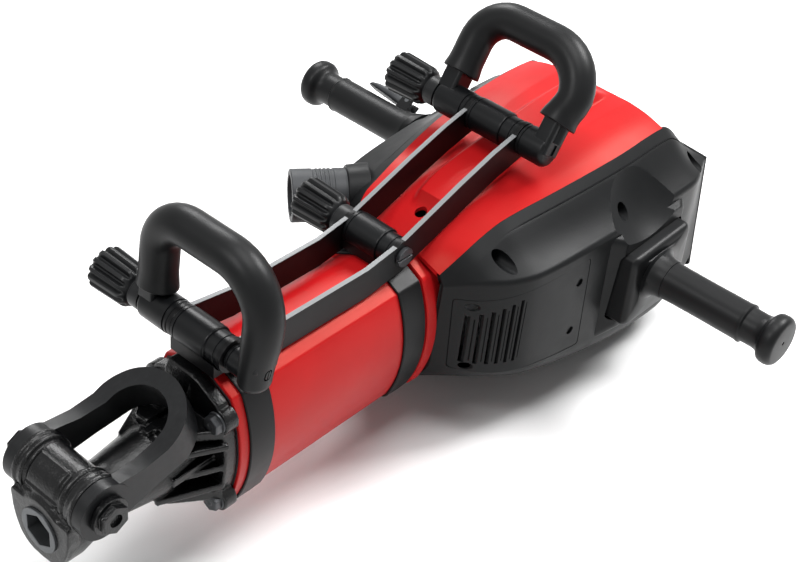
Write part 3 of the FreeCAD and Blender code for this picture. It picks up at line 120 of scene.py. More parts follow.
class Nodes:
    """A node tree of a material or the world, built from nothing."""

    def __init__(self, owner: bpy.types.Material | bpy.types.World) -> None:
        """Empty the owner's node tree."""
        owner.use_nodes = True
        self.tree = owner.node_tree
        self.tree.nodes.clear()

    def node(self, kind: str, settings: dict | None = None, inputs: dict | None = None) -> bpy.types.Node:
        """Add a node.

        Args:
            kind: The node's type.
            settings: Its own settings, set before its sockets.
            inputs: Values or links of its sockets, by name or number.

        Returns:
            The new node.
        """
        node = self.tree.nodes.new(kind)
        for key, value in (settings or {}).items():
            setattr(node, key, value)
        for key, value in (inputs or {}).items():
            self.feed(node.inputs[key], value)
        return node

    def feed(self, socket: bpy.types.NodeSocket, value: object) -> None:
        """Link a signal or socket to a socket, or set the socket's own value."""
        if isinstance(value, Signal):
            self.tree.links.new(value.socket, socket)
        elif isinstance(value, bpy.types.NodeSocket):
            self.tree.links.new(value, socket)
        elif socket.type == "RGBA":
            socket.default_value = (*value, 1.0)
        else:
            socket.default_value = value

    def backdrop(self, lit: bpy.types.Node, plain: bpy.types.Node,
                 share: Signal | float = 1.0) -> bpy.types.NodeSocket:
        """Mix a lit shader with a plain one for what the camera, reflections and glass see.

        Args:
            lit: The shader that lights the object or takes its shadow.
            plain: The shader that is seen as background.
            share: How much of the plain one is seen.

        Returns:
            The mixed shader's socket.
        """
        path = self.node("ShaderNodeLightPath")
        seen = Signal(self, path.outputs["Is Camera Ray"])
        for ray in ("Is Glossy Ray", "Is Transmission Ray"):
            seen = seen.either(Signal(self, path.outputs[ray]))
        mix = self.node("ShaderNodeMixShader", None,
                        {0: seen * share, 1: lit.outputs[0], 2: plain.outputs[0]})
        return mix.outputs[0]


class Shader(Nodes):
    """A material's nodes around one Principled shader."""

    def __init__(self, name: str) -> None:
        """Start a material of that name; one that came with the CAD gives the name up."""
        earlier = bpy.data.materials.get(name)
        if earlier is not None:
            earlier.name = f"cad_{name}"
        self.material = bpy.data.materials.new(name)
        super().__init__(self.material)
        self.surface = self.node("ShaderNodeBsdfPrincipled")
        self.output = self.node("ShaderNodeOutputMaterial", None, {"Surface": self.surface.outputs[0]})
        self.place = self.node("ShaderNodeTexCoord").outputs["Object"]

    def noise(self, size_mm: float, detail: float = 3.0, stretch: Triple = (1.0, 1.0, 1.0)) -> Signal:
        """Noise with features of about size_mm, drawn out along an axis where stretch is small."""
        place = self.node("ShaderNodeMapping", None, {"Vector": self.place, "Scale": stretch})
        texture = self.node("ShaderNodeTexNoise", None,
                            {"Vector": place.outputs[0], "Scale": 1.0 / (size_mm * MM), "Detail": detail})
        return Signal(self, texture.outputs[0])

    def marked(self, name: str) -> Signal:
        """The value of a face attribute."""
        node = self.node("ShaderNodeAttribute", {"attribute_name": name})
        return Signal(self, node.outputs["Fac"])

    def tint(self, factor: Signal, first: object, second: object) -> bpy.types.NodeSocket:
        """Mix two colours."""
        node = self.node("ShaderNodeMix", {"data_type": "RGBA"}, {0: factor, 6: first, 7: second})
        return node.outputs[2]

    def set(self, values: dict) -> None:
        """Feed sockets of the Principled shader by name."""
        for name, value in values.items():
            self.feed(self.surface.inputs[name], value)

    def relief(self, height: Signal, depth_mm: float) -> None:
        """Drive the surface's normal by a height signal."""
        bump = self.node("ShaderNodeBump", None, {"Height": height, "Distance": depth_mm * MM})
        self.set({"Normal": bump.outputs[0]})


def shaded(colour: Colour, share: float) -> Colour:
    """The colour with each channel scaled."""
    return tuple(min(channel * share, 1.0) for channel in colour)


@dataclass(frozen=True)
class Finish:
    """A plain finish whose colour and gloss wander slightly."""

    slot: str
    colour: Colour
    roughness: float
    metallic: float = 0.0
    specular: float = 0.5
    wander: float = 0.08
    grain_mm: float = 0.8
    depth_mm: float = 0.0
    # Colour of a painted highlight on marked faces
    painted_highlight: Colour | None = None
    sheen: Colour = (1.0, 1.0, 1.0)

    def build(self) -> None:
        """Make the material."""
        shader = Shader(self.slot)
        shader.set({"Metallic": self.metallic, "Specular IOR Level": self.specular,
                    "Specular Tint": self.sheen})
        self.paint(shader)
        self.texture(shader)

    def paint(self, shader: Shader) -> None:
        """Set colour and gloss."""
        cloud = shader.noise(45.0).between(0.3, 0.7)
        low, high = shaded(self.colour, 1 - self.wander), shaded(self.colour, 1 + self.wander)
        colour = shader.tint(cloud, low, high)
        gloss = shader.noise(14.0, 4.0).between(0.25, 0.75) * 0.06 + (self.roughness - 0.03)
        # Marked faces take the painted highlight colour in place of the paint
        if self.painted_highlight is not None:
            colour = shader.tint(shader.marked("painted_highlight"), colour, self.painted_highlight)
        shader.set({"Base Color": colour, "Roughness": gloss})

    def texture(self, shader: Shader) -> None:
        """Give the surface its fine grain."""
        if self.depth_mm:
            shader.relief(shader.noise(self.grain_mm, 2.0), self.depth_mm)


@dataclass(frozen=True)
class Casting(Finish):
    """Coated casting with a coarse sand texture."""

    def texture(self, shader: Shader) -> None:
        """Sand grain over slow lumps."""
        sand = shader.noise(self.grain_mm, 3.0)
        lumps = shader.noise(9.0, 2.0)
        shader.relief(sand + lumps, self.depth_mm)


@dataclass(frozen=True)
class Forging(Finish):
    """Dark forging with fine rub marks."""

    def paint(self, shader: Shader) -> None:
        """Rub marks lighten the dark skin."""
        rubs = shader.noise(3.0, 6.0, (0.15, 1.0, 1.0)).between(0.52, 0.8)
        colour = shader.tint(rubs * 0.5, self.colour, shaded(self.colour, 2.2))
        gloss = shader.noise(8.0, 4.0) * 0.24 + (self.roughness - 0.12)
        shader.set({"Base Color": colour, "Roughness": gloss})


@dataclass(frozen=True)
class DrawnSteel(Finish):
    """Machined or drawn metal with lines along one axis."""

    stretch: Triple = (0.04, 1.0, 1.0)

    def texture(self, shader: Shader) -> None:
        """Lines of the tool."""
        shader.relief(shader.noise(0.6, 2.0, self.stretch), self.depth_mm)


# Linear colours
RED: Colour = (0.42, 0.0075, 0.0095)
# Pale grey painted along the rails' upper edges as a highlight
EDGE_HIGHLIGHT: Colour = (0.2, 0.205, 0.21)
WARM: Colour = (1.0, 0.45, 0.32)

FINISHES: tuple[Finish, ...] = (
    Finish("red_paint", RED, 0.38, specular=0.24, wander=0.04, grain_mm=1.6, depth_mm=0.012, sheen=WARM),
    # Black paint takes the painted edge highlight on the faces marked for it
    Finish("black_paint", (0.0034, 0.0034, 0.0038), 0.36, specular=0.15, wander=0.1, painted_highlight=EDGE_HIGHLIGHT),
    Finish("dark_plastic", (0.0055, 0.0059, 0.0063), 0.42, specular=0.14, wander=0.12, grain_mm=1.8,
           depth_mm=0.05),
    Casting("cast_black", (0.002, 0.0021, 0.0024), 0.25, specular=0.3, grain_mm=1.6, depth_mm=0.35),
    Forging("forged_dark", (0.007, 0.0073, 0.008), 0.38, specular=0.22),
    Finish("grip_rubber", (0.0058, 0.0061, 0.0065), 0.4, specular=0.17, wander=0.12, grain_mm=1.6,
           depth_mm=0.02),
    Finish("knob_plastic", (0.006, 0.0064, 0.007), 0.36, specular=0.26, wander=0.12, grain_mm=1.6,
           depth_mm=0.04),
    DrawnSteel("tool_steel", (0.1, 0.105, 0.11), 0.42, metallic=0.8, depth_mm=0.01),
    DrawnSteel("bolt_steel", (0.05, 0.052, 0.056), 0.34, metallic=0.6, depth_mm=0.006),
    Finish("tube_steel", (0.005, 0.0054, 0.006), 0.32, specular=0.18, wander=0.12, grain_mm=1.8,
           depth_mm=0.03),
    Finish("case_aluminium", (0.5, 0.51, 0.52), 0.45, metallic=0.85, grain_mm=1.2, depth_mm=0.05),
    DrawnSteel("stator_iron", (0.14, 0.14, 0.15), 0.5, metallic=0.7, depth_mm=0.04,
               stretch=(1.0, 0.04, 1.0)),
    Finish("copper", (0.6, 0.27, 0.12), 0.35, metallic=1.0),
    Finish("carbon", (0.02, 0.02, 0.02), 0.7),
    Finish("lever_grey", (0.035, 0.037, 0.04), 0.45, specular=0.3, wander=0.06, grain_mm=1.6,
           depth_mm=0.02),
    Finish("inlet_grey", (0.03, 0.032, 0.035), 0.5, specular=0.3, wander=0.08, grain_mm=1.6,
           depth_mm=0.04),
    Finish("fan_plastic", (0.03, 0.03, 0.03), 0.5),
)


# Mesh building, in millimetres

class Axis(Enum):
    """An axis of the part's frame."""

    X = "x"
    Y = "y"
    Z = "z"

    def turn(self) -> Matrix:
        """The rotation that lays +Z onto this axis."""
        if self is Axis.X:
            return Matrix.Rotation(math.radians(90), 4, "Y")
        if self is Axis.Y:
            return Matrix.Rotation(math.radians(-90), 4, "X")
        return Matrix.Identity(4)


class Join(Enum):
    """How two closed meshes are put together."""

    CUT = "DIFFERENCE"
    ADD = "UNION"
    KEEP_SHARED = "INTERSECT"


class Workpiece:
    """A mesh in millimetres with the operators that shape it."""

    def __init__(self) -> None:
        """Start with nothing."""
        self.bm = bmesh.new()

    @classmethod
    def of_node(cls, node: str) -> "Workpiece":
        """A merged copy of a CAD node's mesh."""
        piece = cls()
        piece.bm.from_mesh(bpy.data.objects[node].data)
        bmesh.ops.transform(piece.bm, matrix=Matrix.Scale(1 / MM, 4), verts=piece.bm.verts)
        bmesh.ops.remove_doubles(piece.bm, verts=piece.bm.verts, dist=0.003)
        bmesh.ops.dissolve_limit(piece.bm, angle_limit=math.radians(0.6), verts=piece.bm.verts,
                                 edges=piece.bm.edges)
        return piece

    def chain(self, points: Sequence[Triple], closed: bool) -> list[bmesh.types.BMVert]:
        """Vertices joined by edges."""
        verts = [self.bm.verts.new(point) for point in points]
        for first, second in zip(verts, verts[1:] + verts[:1] if closed else verts[1:]):
            self.bm.edges.new((first, second))
        return verts

    def extend(self, verts: list[bmesh.types.BMVert], points: Sequence[Triple],
               closed: bool) -> list[bmesh.types.BMVert]:
        """Extrude a chain and lay its copy on new points.

        Args:
            verts: The chain's vertices in order.
            points: Where their copies go.
            closed: Whether the chain is a loop.

        Returns:
            The copies in order.
        """
        ends = verts[1:] + verts[:1] if closed else verts[1:]
        edges = [self.bm.edges.get(pair) for pair in zip(verts, ends)]
        made = bmesh.ops.extrude_edge_only(self.bm, edges=edges)["geom"]
        fresh = {item for item in made if isinstance(item, bmesh.types.BMVert)}
        following = [next(edge.other_vert(vert) for edge in vert.link_edges if edge.other_vert(vert) in fresh)
                     for vert in verts]
        for vert, place in zip(following, points):
            vert.co = place
        return following

    def loft(self, sections: Sequence[Sequence[Triple]], closed: bool = True,
             capped: bool = True) -> "Workpiece":
        """Skin a row of sections with equal numbers of points."""
        first = self.chain(sections[0], closed)
        last = first
        for section in sections[1:]:
            last = self.extend(last, section, closed)
        if capped:
            self.bm.faces.new(first)
            self.bm.faces.new(last)
        return self.outwards()

    def lathe(self, profile: Sequence[Pair], axis: Axis, centre: Triple, steps: int = 72) -> "Workpiece":
        """Turn a profile of (place along the axis, radius) pairs about an axis through centre."""
        verts = self.chain([(radius, 0.0, along) for along, radius in profile], False)
        edges = list({edge for vert in verts for edge in vert.link_edges})
        bmesh.ops.spin(self.bm, geom=verts + edges, cent=(0, 0, 0), axis=(0, 0, 1), angle=math.tau,
                       steps=steps, use_merge=True)
        bmesh.ops.remove_doubles(self.bm, verts=self.bm.verts, dist=0.002)
        return self.outwards().move(Matrix.Translation(centre) @ axis.turn())

    def box(self, low: Triple, high: Triple) -> "Workpiece":
        """A box between two corners."""
        size = [b - a for a, b in zip(low, high)]
        middle = [(a + b) / 2 for a, b in zip(low, high)]
        bmesh.ops.create_cube(self.bm, size=1.0,
                              matrix=Matrix.Translation(middle) @ Matrix.Diagonal((*size, 1.0)))
        return self

    def drum(self, radius: float, start: float, end: float, axis: Axis, centre: Triple,
             segments: int = 64, far_radius: float | None = None) -> "Workpiece":
        """A closed cylinder or cone from start to end along an axis through centre."""
        far = radius if far_radius is None else far_radius
        middle = axis.turn() @ Matrix.Translation((0, 0, (start + end) / 2))
        bmesh.ops.create_cone(self.bm, cap_ends=True, segments=segments, radius1=radius, radius2=far,
                              depth=end - start, matrix=Matrix.Translation(centre) @ middle)
        return self

    def ball(self, radius: float, centre: Triple, segments: int = 200) -> "Workpiece":
        """A sphere."""
        bmesh.ops.create_uvsphere(self.bm, u_segments=segments, v_segments=segments // 2, radius=radius,
                                  matrix=Matrix.Translation(centre))
        return self

    def plate(self, outline: Sequence[Pair], start: float, end: float, axis: Axis) -> "Workpiece":
        """Extrude an outline along an axis; its pairs are the other two coordinates in X, Y, Z order."""
        def at(pair: Pair, along: float) -> Triple:
            """A point of the outline at a place along the axis."""
            a, b = pair
            return {Axis.X: (along, a, b), Axis.Y: (a, along, b), Axis.Z: (a, b, along)}[axis]
        return self.loft([[at(pair, start) for pair in outline], [at(pair, end) for pair in outline]])

    def outwards(self) -> "Workpiece":
        """Point all faces outwards."""
        bmesh.ops.recalc_face_normals(self.bm, faces=self.bm.faces)
        return self

    def move(self, matrix: Matrix) -> "Workpiece":
        """Transform the whole mesh."""
        bmesh.ops.transform(self.bm, matrix=matrix, verts=self.bm.verts)
        return self

    def turned(self, degrees: float, x: float, z: float) -> "Workpiece":
        """Turn about an axis along Y through (x, z); a positive angle turns +Z towards +X."""
        pivot = Matrix.Translation((x, 0, z))
        return self.move(pivot @ Matrix.Rotation(math.radians(degrees), 4, "Y") @ pivot.inverted())

    def mirrored(self) -> "Workpiece":
        """Reflect to the other side of the hammer axis."""
        self.move(Matrix.Diagonal((1, -1, 1, 1)))
        bmesh.ops.reverse_faces(self.bm, faces=self.bm.faces)
        return self

    def eased(self, width: float, angle: float = 30.0, segments: int = 2) -> "Workpiece":
        """Bevel the edges that are sharper than an angle."""
        edges = [edge for edge in self.bm.edges
                 if len(edge.link_faces) == 2 and edge.calc_face_angle(0.0) > math.radians(angle)]
        bmesh.ops.bevel(self.bm, geom=edges, offset=width, segments=segments, profile=0.5,
                        affect="EDGES", material=-1, clamp_overlap=True)
        return self

    def take(self, mesh: bpy.types.Mesh) -> "Workpiece":
        """Take a mesh in millimetres in, and discard it."""
        self.bm.from_mesh(mesh)
        bpy.data.meshes.remove(mesh)
        return self

    def with_(self, other: "Workpiece") -> "Workpiece":
        """Take another workpiece's mesh in beside this one."""
        return self.take(other.as_mesh("other"))

    def as_mesh(self, name: str) -> bpy.types.Mesh:
        """A Blender mesh in millimetres."""
        mesh = bpy.data.meshes.new(name)
        self.bm.to_mesh(mesh)
        self.bm.free()
        return mesh

    def _through(self, prepare: Callable[[bpy.types.Object], None]) -> "Workpiece":
        """Put the mesh through modifiers that a function adds to its object."""
        held = linked("held", self.as_mesh("held"))
        prepare(held)
        result = baked(held)
        discard(held)
        return Workpiece().take(result)

    def joined(self, tool: "Workpiece", join: Join = Join.CUT) -> "Workpiece":
        """Cut away, add or intersect a closed tool."""
        other = linked("tool", tool.as_mesh("tool"))

        def prepare(held: bpy.types.Object) -> None:
            """Add the Boolean."""
            boolean = held.modifiers.new("join", "BOOLEAN")
            boolean.operation = join.value
            boolean.solver = "EXACT"
            boolean.use_self = True
            boolean.object = other
        result = self._through(prepare)
        discard(other)
        return result

    def fused(self, voxel: float, rounds: int) -> "Workpiece":
        """Melt overlapping closed shells into one skin with soft inner corners."""
        def prepare(held: bpy.types.Object) -> None:
            """Add the remesh and its smoothing."""
            remesh = held.modifiers.new("remesh", "REMESH")
            remesh.mode = "VOXEL"
            remesh.voxel_size = voxel
            smooth = held.modifiers.new("smooth", "SMOOTH")
            smooth.factor = 0.5
            smooth.iterations = rounds
        return self._through(prepare)

    def mark(self, test: Callable[[bmesh.types.BMFace], bool]) -> "Workpiece":
        """Mark the faces that take a painted highlight along an upper edge."""
        self.bm.normal_update()
        layer = self.bm.faces.layers.float.new("painted_highlight")
        for face in self.bm.faces:
            face[layer] = 1.0 if test(face) else 0.0
        return self

    def part(self, name: str, slot: str, node: str, body: str = "body", sharp: float = 32.0) -> None:
        """Make the finished object, in metres.

        Args:
            name: The piece's name.
            slot: Its material slot.
            node: The CAD node that it stands for.
            body: The CAD body that it rides on.
            sharp: Edges above this angle stay sharp.
        """
        self.move(Matrix.Scale(MM, 4))
        mesh = self.as_mesh(name)
        mesh.shade_smooth()
        mesh.set_sharp_from_angle(angle=math.radians(sharp))
        thing = linked(name, mesh)
        if len(mesh.polygons) < MOST_WEIGHTED_FACES:
            thing.modifiers.new("weighted", "WEIGHTED_NORMAL").keep_sharp = True
            thing.data = baked(thing)
            thing.modifiers.clear()
            bpy.data.meshes.remove(mesh)
            thing.data.name = name
        thing.data.materials.append(bpy.data.materials[slot])
        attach(thing, body)
        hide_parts(node)
        LOG.info("piece %s: %d faces", name, len(thing.data.polygons))


def linked(name: str, data: bpy.types.ID) -> bpy.types.Object:
    """A new object of the scene."""
    thing = bpy.data.objects.new(name, data)
    bpy.context.scene.collection.objects.link(thing)
    return thing


def baked(thing: bpy.types.Object) -> bpy.types.Mesh:
    """A mesh of the object as its modifiers leave it."""
    bpy.context.view_layer.update()
    return bpy.data.meshes.new_from_object(thing.evaluated_get(bpy.context.evaluated_depsgraph_get()))


def discard(thing: bpy.types.Object) -> None:
    """Remove an object with its mesh."""
    mesh = thing.data
    bpy.data.objects.remove(thing)
    bpy.data.meshes.remove(mesh)


def dress(node: str, name: str, slot: str, width: float) -> None:
    """Make a fixed piece from a CAD node's mesh with bevelled edges."""
    Workpiece.of_node(node).eased(width).part(name, slot, node)


def through(start: Pair, middle: Pair, end: Pair, steps: int) -> list[Pair]:
    """Points of the arc through three points."""
    a, c = Vector(start), Vector(end)
    short, long = Vector(middle) - a, c - a
    near, far = short.length_squared, long.length_squared
    offset = Vector((long.y * near - short.y * far, short.x * far - long.x * near))
    centre = a + offset / (2 * short.cross(long))
    first, last = math.atan2(*(a - centre).yx), math.atan2(*(c - centre).yx)
    turn = math.remainder(last - first, math.tau)
    return [tuple(centre + Vector((math.cos(first + turn * i / steps), math.sin(first + turn * i / steps)))
                  * (a - centre).length) for i in range(steps + 1)]


def arc(centre: Pair, radius: float, start: float, end: float, steps: int) -> list[Pair]:
    """Points of an arc, with angles in degrees."""
    turns = [math.radians(start + (end - start) * i / steps) for i in range(steps + 1)]
    return [(centre[0] + radius * math.cos(turn), centre[1] + radius * math.sin(turn)) for turn in turns]


def rounded(corners: Sequence[Pair], trims: Sequence[float], steps: int = 6,
            closed: bool = True) -> list[Pair]:
    """Round the corners of an outline.

    Args:
        corners: The outline's corners.
        trims: How far from each corner its rounding starts.
        steps: Points per rounding, less one.
        closed: Whether the outline is a loop; an open one keeps its two ends.

    Returns:
        The rounded outline.
    """
    points: list[Pair] = []
    count = len(corners)
    for i, (corner, trim) in enumerate(zip(corners, trims)):
        here = Vector(corner)
        if not closed and i in (0, count - 1):
            points.append(tuple(here))
            continue
        back = (Vector(corners[i - 1]) - here).normalized() * trim
        on = (Vector(corners[(i + 1) % count]) - here).normalized() * trim
        for k in range(steps + 1):
            t = k / steps
            points.append(tuple(here + back * (1 - t) ** 2 + on * t ** 2))
    return points


def eased_value(x: float, low: float, high: float) -> float:
    """Smooth step from 0 at low to 1 at high."""
    t = min(max((x - low) / (high - low), 0.0), 1.0)
    return t * t * (3 - 2 * t)


def squircle(half_a: float, half_b: float, corner: float, per_corner: int = 16) -> list[Pair]:
    """A rounded rectangle about the origin; with equal halves and that corner it is a circle."""
    points: list[Pair] = []
    for sign_a, sign_b, start in ((1, 1, 0), (-1, 1, 90), (-1, -1, 180), (1, -1, 270)):
        centre = (sign_a * (half_a - corner), sign_b * (half_b - corner))
        points += arc(centre, corner, start, start + 90, per_corner)
    return points


# Sub-assemblies

@dataclass
class Nose:
    """Cast nose with the tool socket, its bolts and the tool retainer."""

    pivot_x: float = -31.0
    pivot_z: float = 35.0
    pad_r: float = 25.0
    face_x: float = -2.0
    flange_x: float = -158.0
    bolt_y: float = 39.0
    bolt_top_z: float = 44.0
    bolt_low_z: float = -46.0
    lobe_r: float = 12.4
    voxel: float = 1.15

    def build(self) -> None:
        """Make all pieces."""
        self.casting()
        # The forged yoke is bevelled more broadly than machined pieces
        Workpiece.of_node("retainer_yoke").eased(2.2, 25, 3).part(
            "tool_retainer", "forged_dark", "retainer_yoke", "yoke", 35)
        dress("tool_bushing", "socket_bushing", "tool_steel", 0.6)
        self.flange_bolts()
        dress("yoke_bolt", "retainer_bolt", "cast_black", 1.0)
        dress("yoke_nut", "retainer_nut", "cast_black", 1.0)

    def casting(self) -> None:
        """The casting, with its front plate, bands, pads and ribs melted into one skin."""
        piece = Workpiece.of_node("nose_casting")
        outline = rounded([(-36, 24), (-35, -6), (-20, -31), (20, -31), (35, -6), (36, 24)],
                          [4, 18, 16, 16, 18, 4])
        plate = Workpiece().plate(outline, self.face_x - 12, self.face_x, Axis.X)
        piece.with_(plate.joined(Workpiece().drum(21.0, -40, 5, Axis.X, (0, 0, 0))))
        pivot = (self.pivot_x, 0, self.pivot_z)
        for start, end, radius in ((-37, -33, 27.0), (-29, -25.5, 26.5), (19, 23, 25.4), (33, 37, 27.0)):
            piece.with_(Workpiece().drum(radius, start, end, Axis.Y, pivot).joined(
                Workpiece().drum(12.0, -50, 50, Axis.Y, pivot)))
        middle = (self.pivot_x, self.pivot_z)
        for y0, y1, low, high in ((-20, 14, 12, 74), (-22, 16, -4, 3)):
            pad = arc(middle, self.pad_r, low, high, 16) + arc(middle, self.pad_r - 6, high, low, 16)
            piece.with_(Workpiece().plate(pad, y0, y1, Axis.Y))
        end = self.flange_x
        for y, z in self.bolt_places():
            side, up = math.copysign(1.0, y), math.copysign(1.0, z)
            piece.with_(Workpiece().drum(self.lobe_r, end - 13.6, end, Axis.X, (0, y, z)))
            web = [(-120, 20 * side), (end, 47 * side), (end, 8 * side), (-120, 6 * side)]
            piece.with_(Workpiece().plate(web, z - 5 * up, z - 15 * up, Axis.Z))
        for height in (22, -4, -26):
            shelf = [(-104, 24), (-160, 52 if height > 0 else 48), (-160, 20), (-104, 20)]
            for side in (1, -1):
                rib = [(x, side * y) for x, y in shelf]
                piece.with_(Workpiece().plate(rib, height - 3, height + 3, Axis.Z))
        crown = [(-150, 38), (-172, 38), (-172, 74), (-160, 74), (-156, 66)]
        piece.with_(Workpiece().plate(crown, -24, 6, Axis.Y))
        piece.fused(self.voxel, 2).part("nose_body", "cast_black", "nose_casting", sharp=70)

    def bolt_places(self) -> list[Pair]:
        """Places of the four flange bolts, as (y, z)."""
        return [(side * self.bolt_y, z) for side in (-1, 1) for z in (self.bolt_top_z, self.bolt_low_z)]

    def flange_bolts(self) -> None:
        """Hexagon heads with their washers and the shanks behind them."""
        head = [(-157.0, 0.0), (-157.0, 9.2), (-150.8, 9.2), (-149.8, 8.2), (-149.8, 3.4), (-150.3, 2.8),
                (-150.3, 0.0)]
        shank = [(-171.0, 0.0), (-171.0, 5.0), (-158.6, 5.0), (-158.6, 10.2), (-157.4, 10.2),
                 (-156.6, 9.6), (-156.6, 0.0)]
        bolts = Workpiece()
        for y, z in self.bolt_places():
            bolts.with_(Workpiece().lathe(head, Axis.X, (0, y, z), 6).eased(0.5))
            bolts.with_(Workpiece().lathe(shank, Axis.X, (0, y, z), 40))
        bolts.part("flange_bolts", "bolt_steel", "nose_bolts")


@dataclass
class Barrel:
    """Red barrel cover with the two straps that carry the handle rails."""

    front_x: float = -172.3
    end_x: float = -420.0
    collar_x: float = -407.7
    wall: float = 3.0
    strap: float = 2.2
    strap_width: float = 29.0
    strap_front: float = -182.0
    strap_rear: float = -377.0

    def outline(self, out: float = 0.0) -> list[Pair]:
        """Outline of the barrel as (y, z), moved out by a distance."""
        flank = through((41, 62), (53, 18), (40, -57), 18)
        half = rounded([(0, 77), (12, 77), (28, 69), flank[0], flank[1]], [0, 5, 5, 1.6, 0], 6, False)[1:]
        half += flank[2:] + through((40, -57), (35, -64), (26, -66), 6)[1:]
        loop = [Vector(point) for point in half + [(-y, z) for y, z in reversed(half)]]
        moved = []
        for i, point in enumerate(loop):
            along = (loop[(i + 1) % len(loop)] - loop[i - 1]).normalized()
            moved.append(tuple(point + Vector((-along.y, along.x)) * out))
        return moved

    def skin(self, stations: Sequence[Pair], wall: float) -> Workpiece:
        """Closed shell through (x, distance out) stations, with its inner face a wall further in."""
        inner = stations[-1][1] - wall
        row = list(stations) + [(stations[-1][0], inner), (stations[0][0], inner), stations[0]]
        shell = Workpiece().loft([[(x, y, z) for y, z in self.outline(out)] for x, out in row], capped=False)
        bmesh.ops.remove_doubles(shell.bm, verts=shell.bm.verts, dist=0.002)
        return shell.outwards()

    def build(self) -> None:
        """Make all pieces."""
        fillet = [(self.front_x, -0.9), (self.front_x - 0.4, -0.3), (self.front_x - 1.2, 0.0)]
        body = [(x, 0.0) for x in range(-190, -400, -12)]
        collar = [(self.collar_x, 0.0), (self.collar_x - 0.4, 2.4), (self.collar_x - 1.4, 3.6),
                  (self.end_x + 1.0, 4.0), (self.end_x + 0.2, 3.7), (self.end_x, 3.0), (self.end_x - 9, 2.6)]
        self.skin(fillet + body + collar, self.wall + 2.6).part(
            "barrel_shell", "red_paint", "barrel_cover", sharp=28)
        for end, start in (("front", self.strap_front), ("rear", self.strap_rear)):
            strap = self.strap_at(start).with_(self.saddle(f"{end}_band", start))
            strap.part(f"{end}_strap", "black_paint", f"{end}_band", sharp=28)

    def strap_at(self, start: float) -> Workpiece:
        """A strap around the barrel with rounded rims."""
        out = self.strap + 0.3
        end = start - self.strap_width
        return self.skin([(start, out - 0.8), (start - 0.9, out), (start - 3, out),
                          (start - 14.5, out + 0.3), (end + 3, out), (end + 0.9, out), (end, out - 0.8)],
                         self.strap - 0.8)

    def saddle(self, node: str, start: float) -> Workpiece:
        """The block between a strap and its cross tube, taken from the CAD node above the barrel."""
        piece = Workpiece.of_node(node)
        keep = Workpiece().box((start - 60, -60, 79.8), (start + 60, 60, 140))
        return piece.joined(keep, Join.KEEP_SHARED).eased(0.8)


# Axes of the cross bolts, as (x, z)
CROSS_AXES: dict[str, Pair] = {"front": (-181.0, 99.0), "mid": (-390.0, 95.0), "rear": (-555.0, 149.0)}


@dataclass
class Rails:
    """Flat rails, cross tubes and cross bolts."""

    tube_r: float = 17.0
    rail_y: float = 27.5
    eye_r: float = 22.0

    def build(self) -> None:
        """Make all pieces."""
        for side in ("left", "right"):
            rail = Workpiece.of_node(f"{side}_rail").eased(0.7, 40)
            # The upward-facing faces of the rail's upper edges get a painted highlight
            rail.mark(self.painted_highlight).part(f"rail_{side}", "black_paint", f"{side}_rail")
        tubes = Workpiece()
        for x, z in CROSS_AXES.values():
            tubes.with_(self.tube(x, z))
        tubes.part("spacer_tubes", "tube_steel", "cross_tubes")
        for place in CROSS_AXES:
            bolt = Workpiece.of_node(f"{place}_cross_bolt").eased(0.5)
            if place == "rear":
                # The foot of the rear handle covers this bolt's head
                bolt = bolt.joined(Workpiece().box((-600, 58, 100), (-500, 100, 200)))
            bolt.part(f"{place}_tie_bolt", "bolt_steel", f"{place}_cross_bolt")

    def painted_highlight(self, face: bmesh.types.BMFace) -> bool:
        """Whether a face lies on a rail's upper edge, away from its eyes, where a highlight is painted."""
        centre = face.calc_center_median()
        return (face.normal.z > 0.75 and abs(face.normal.y) < 0.4
                and all(math.hypot(centre.x - x, centre.z - z) > self.eye_r for x, z in CROSS_AXES.values()))

    def tube(self, x: float, z: float) -> Workpiece:
        """A sleeve with a narrower ringed collar on the left."""
        r, y = self.tube_r, self.rail_y
        profile = [(-y, 8.3), (-y, r - 1.2), (-y + 0.8, r - 0.4), (-y + 3.4, r - 0.4), (-y + 3.8, r - 1.2),
                   (-y + 4.6, r - 1.2), (-y + 5.0, r), (11.0, r), (12.2, r - 0.6), (12.8, r - 2.0),
                   (y - 5.0, r - 2.0), (y - 4.6, r - 2.7), (y - 3.8, r - 2.7), (y - 3.4, r - 2.0),
                   (y - 0.5, r - 2.0), (y, r - 2.6), (y, 8.3), (-y, 8.3)]
        return Workpiece().lathe(profile, Axis.Y, (x, 0, z), 80)


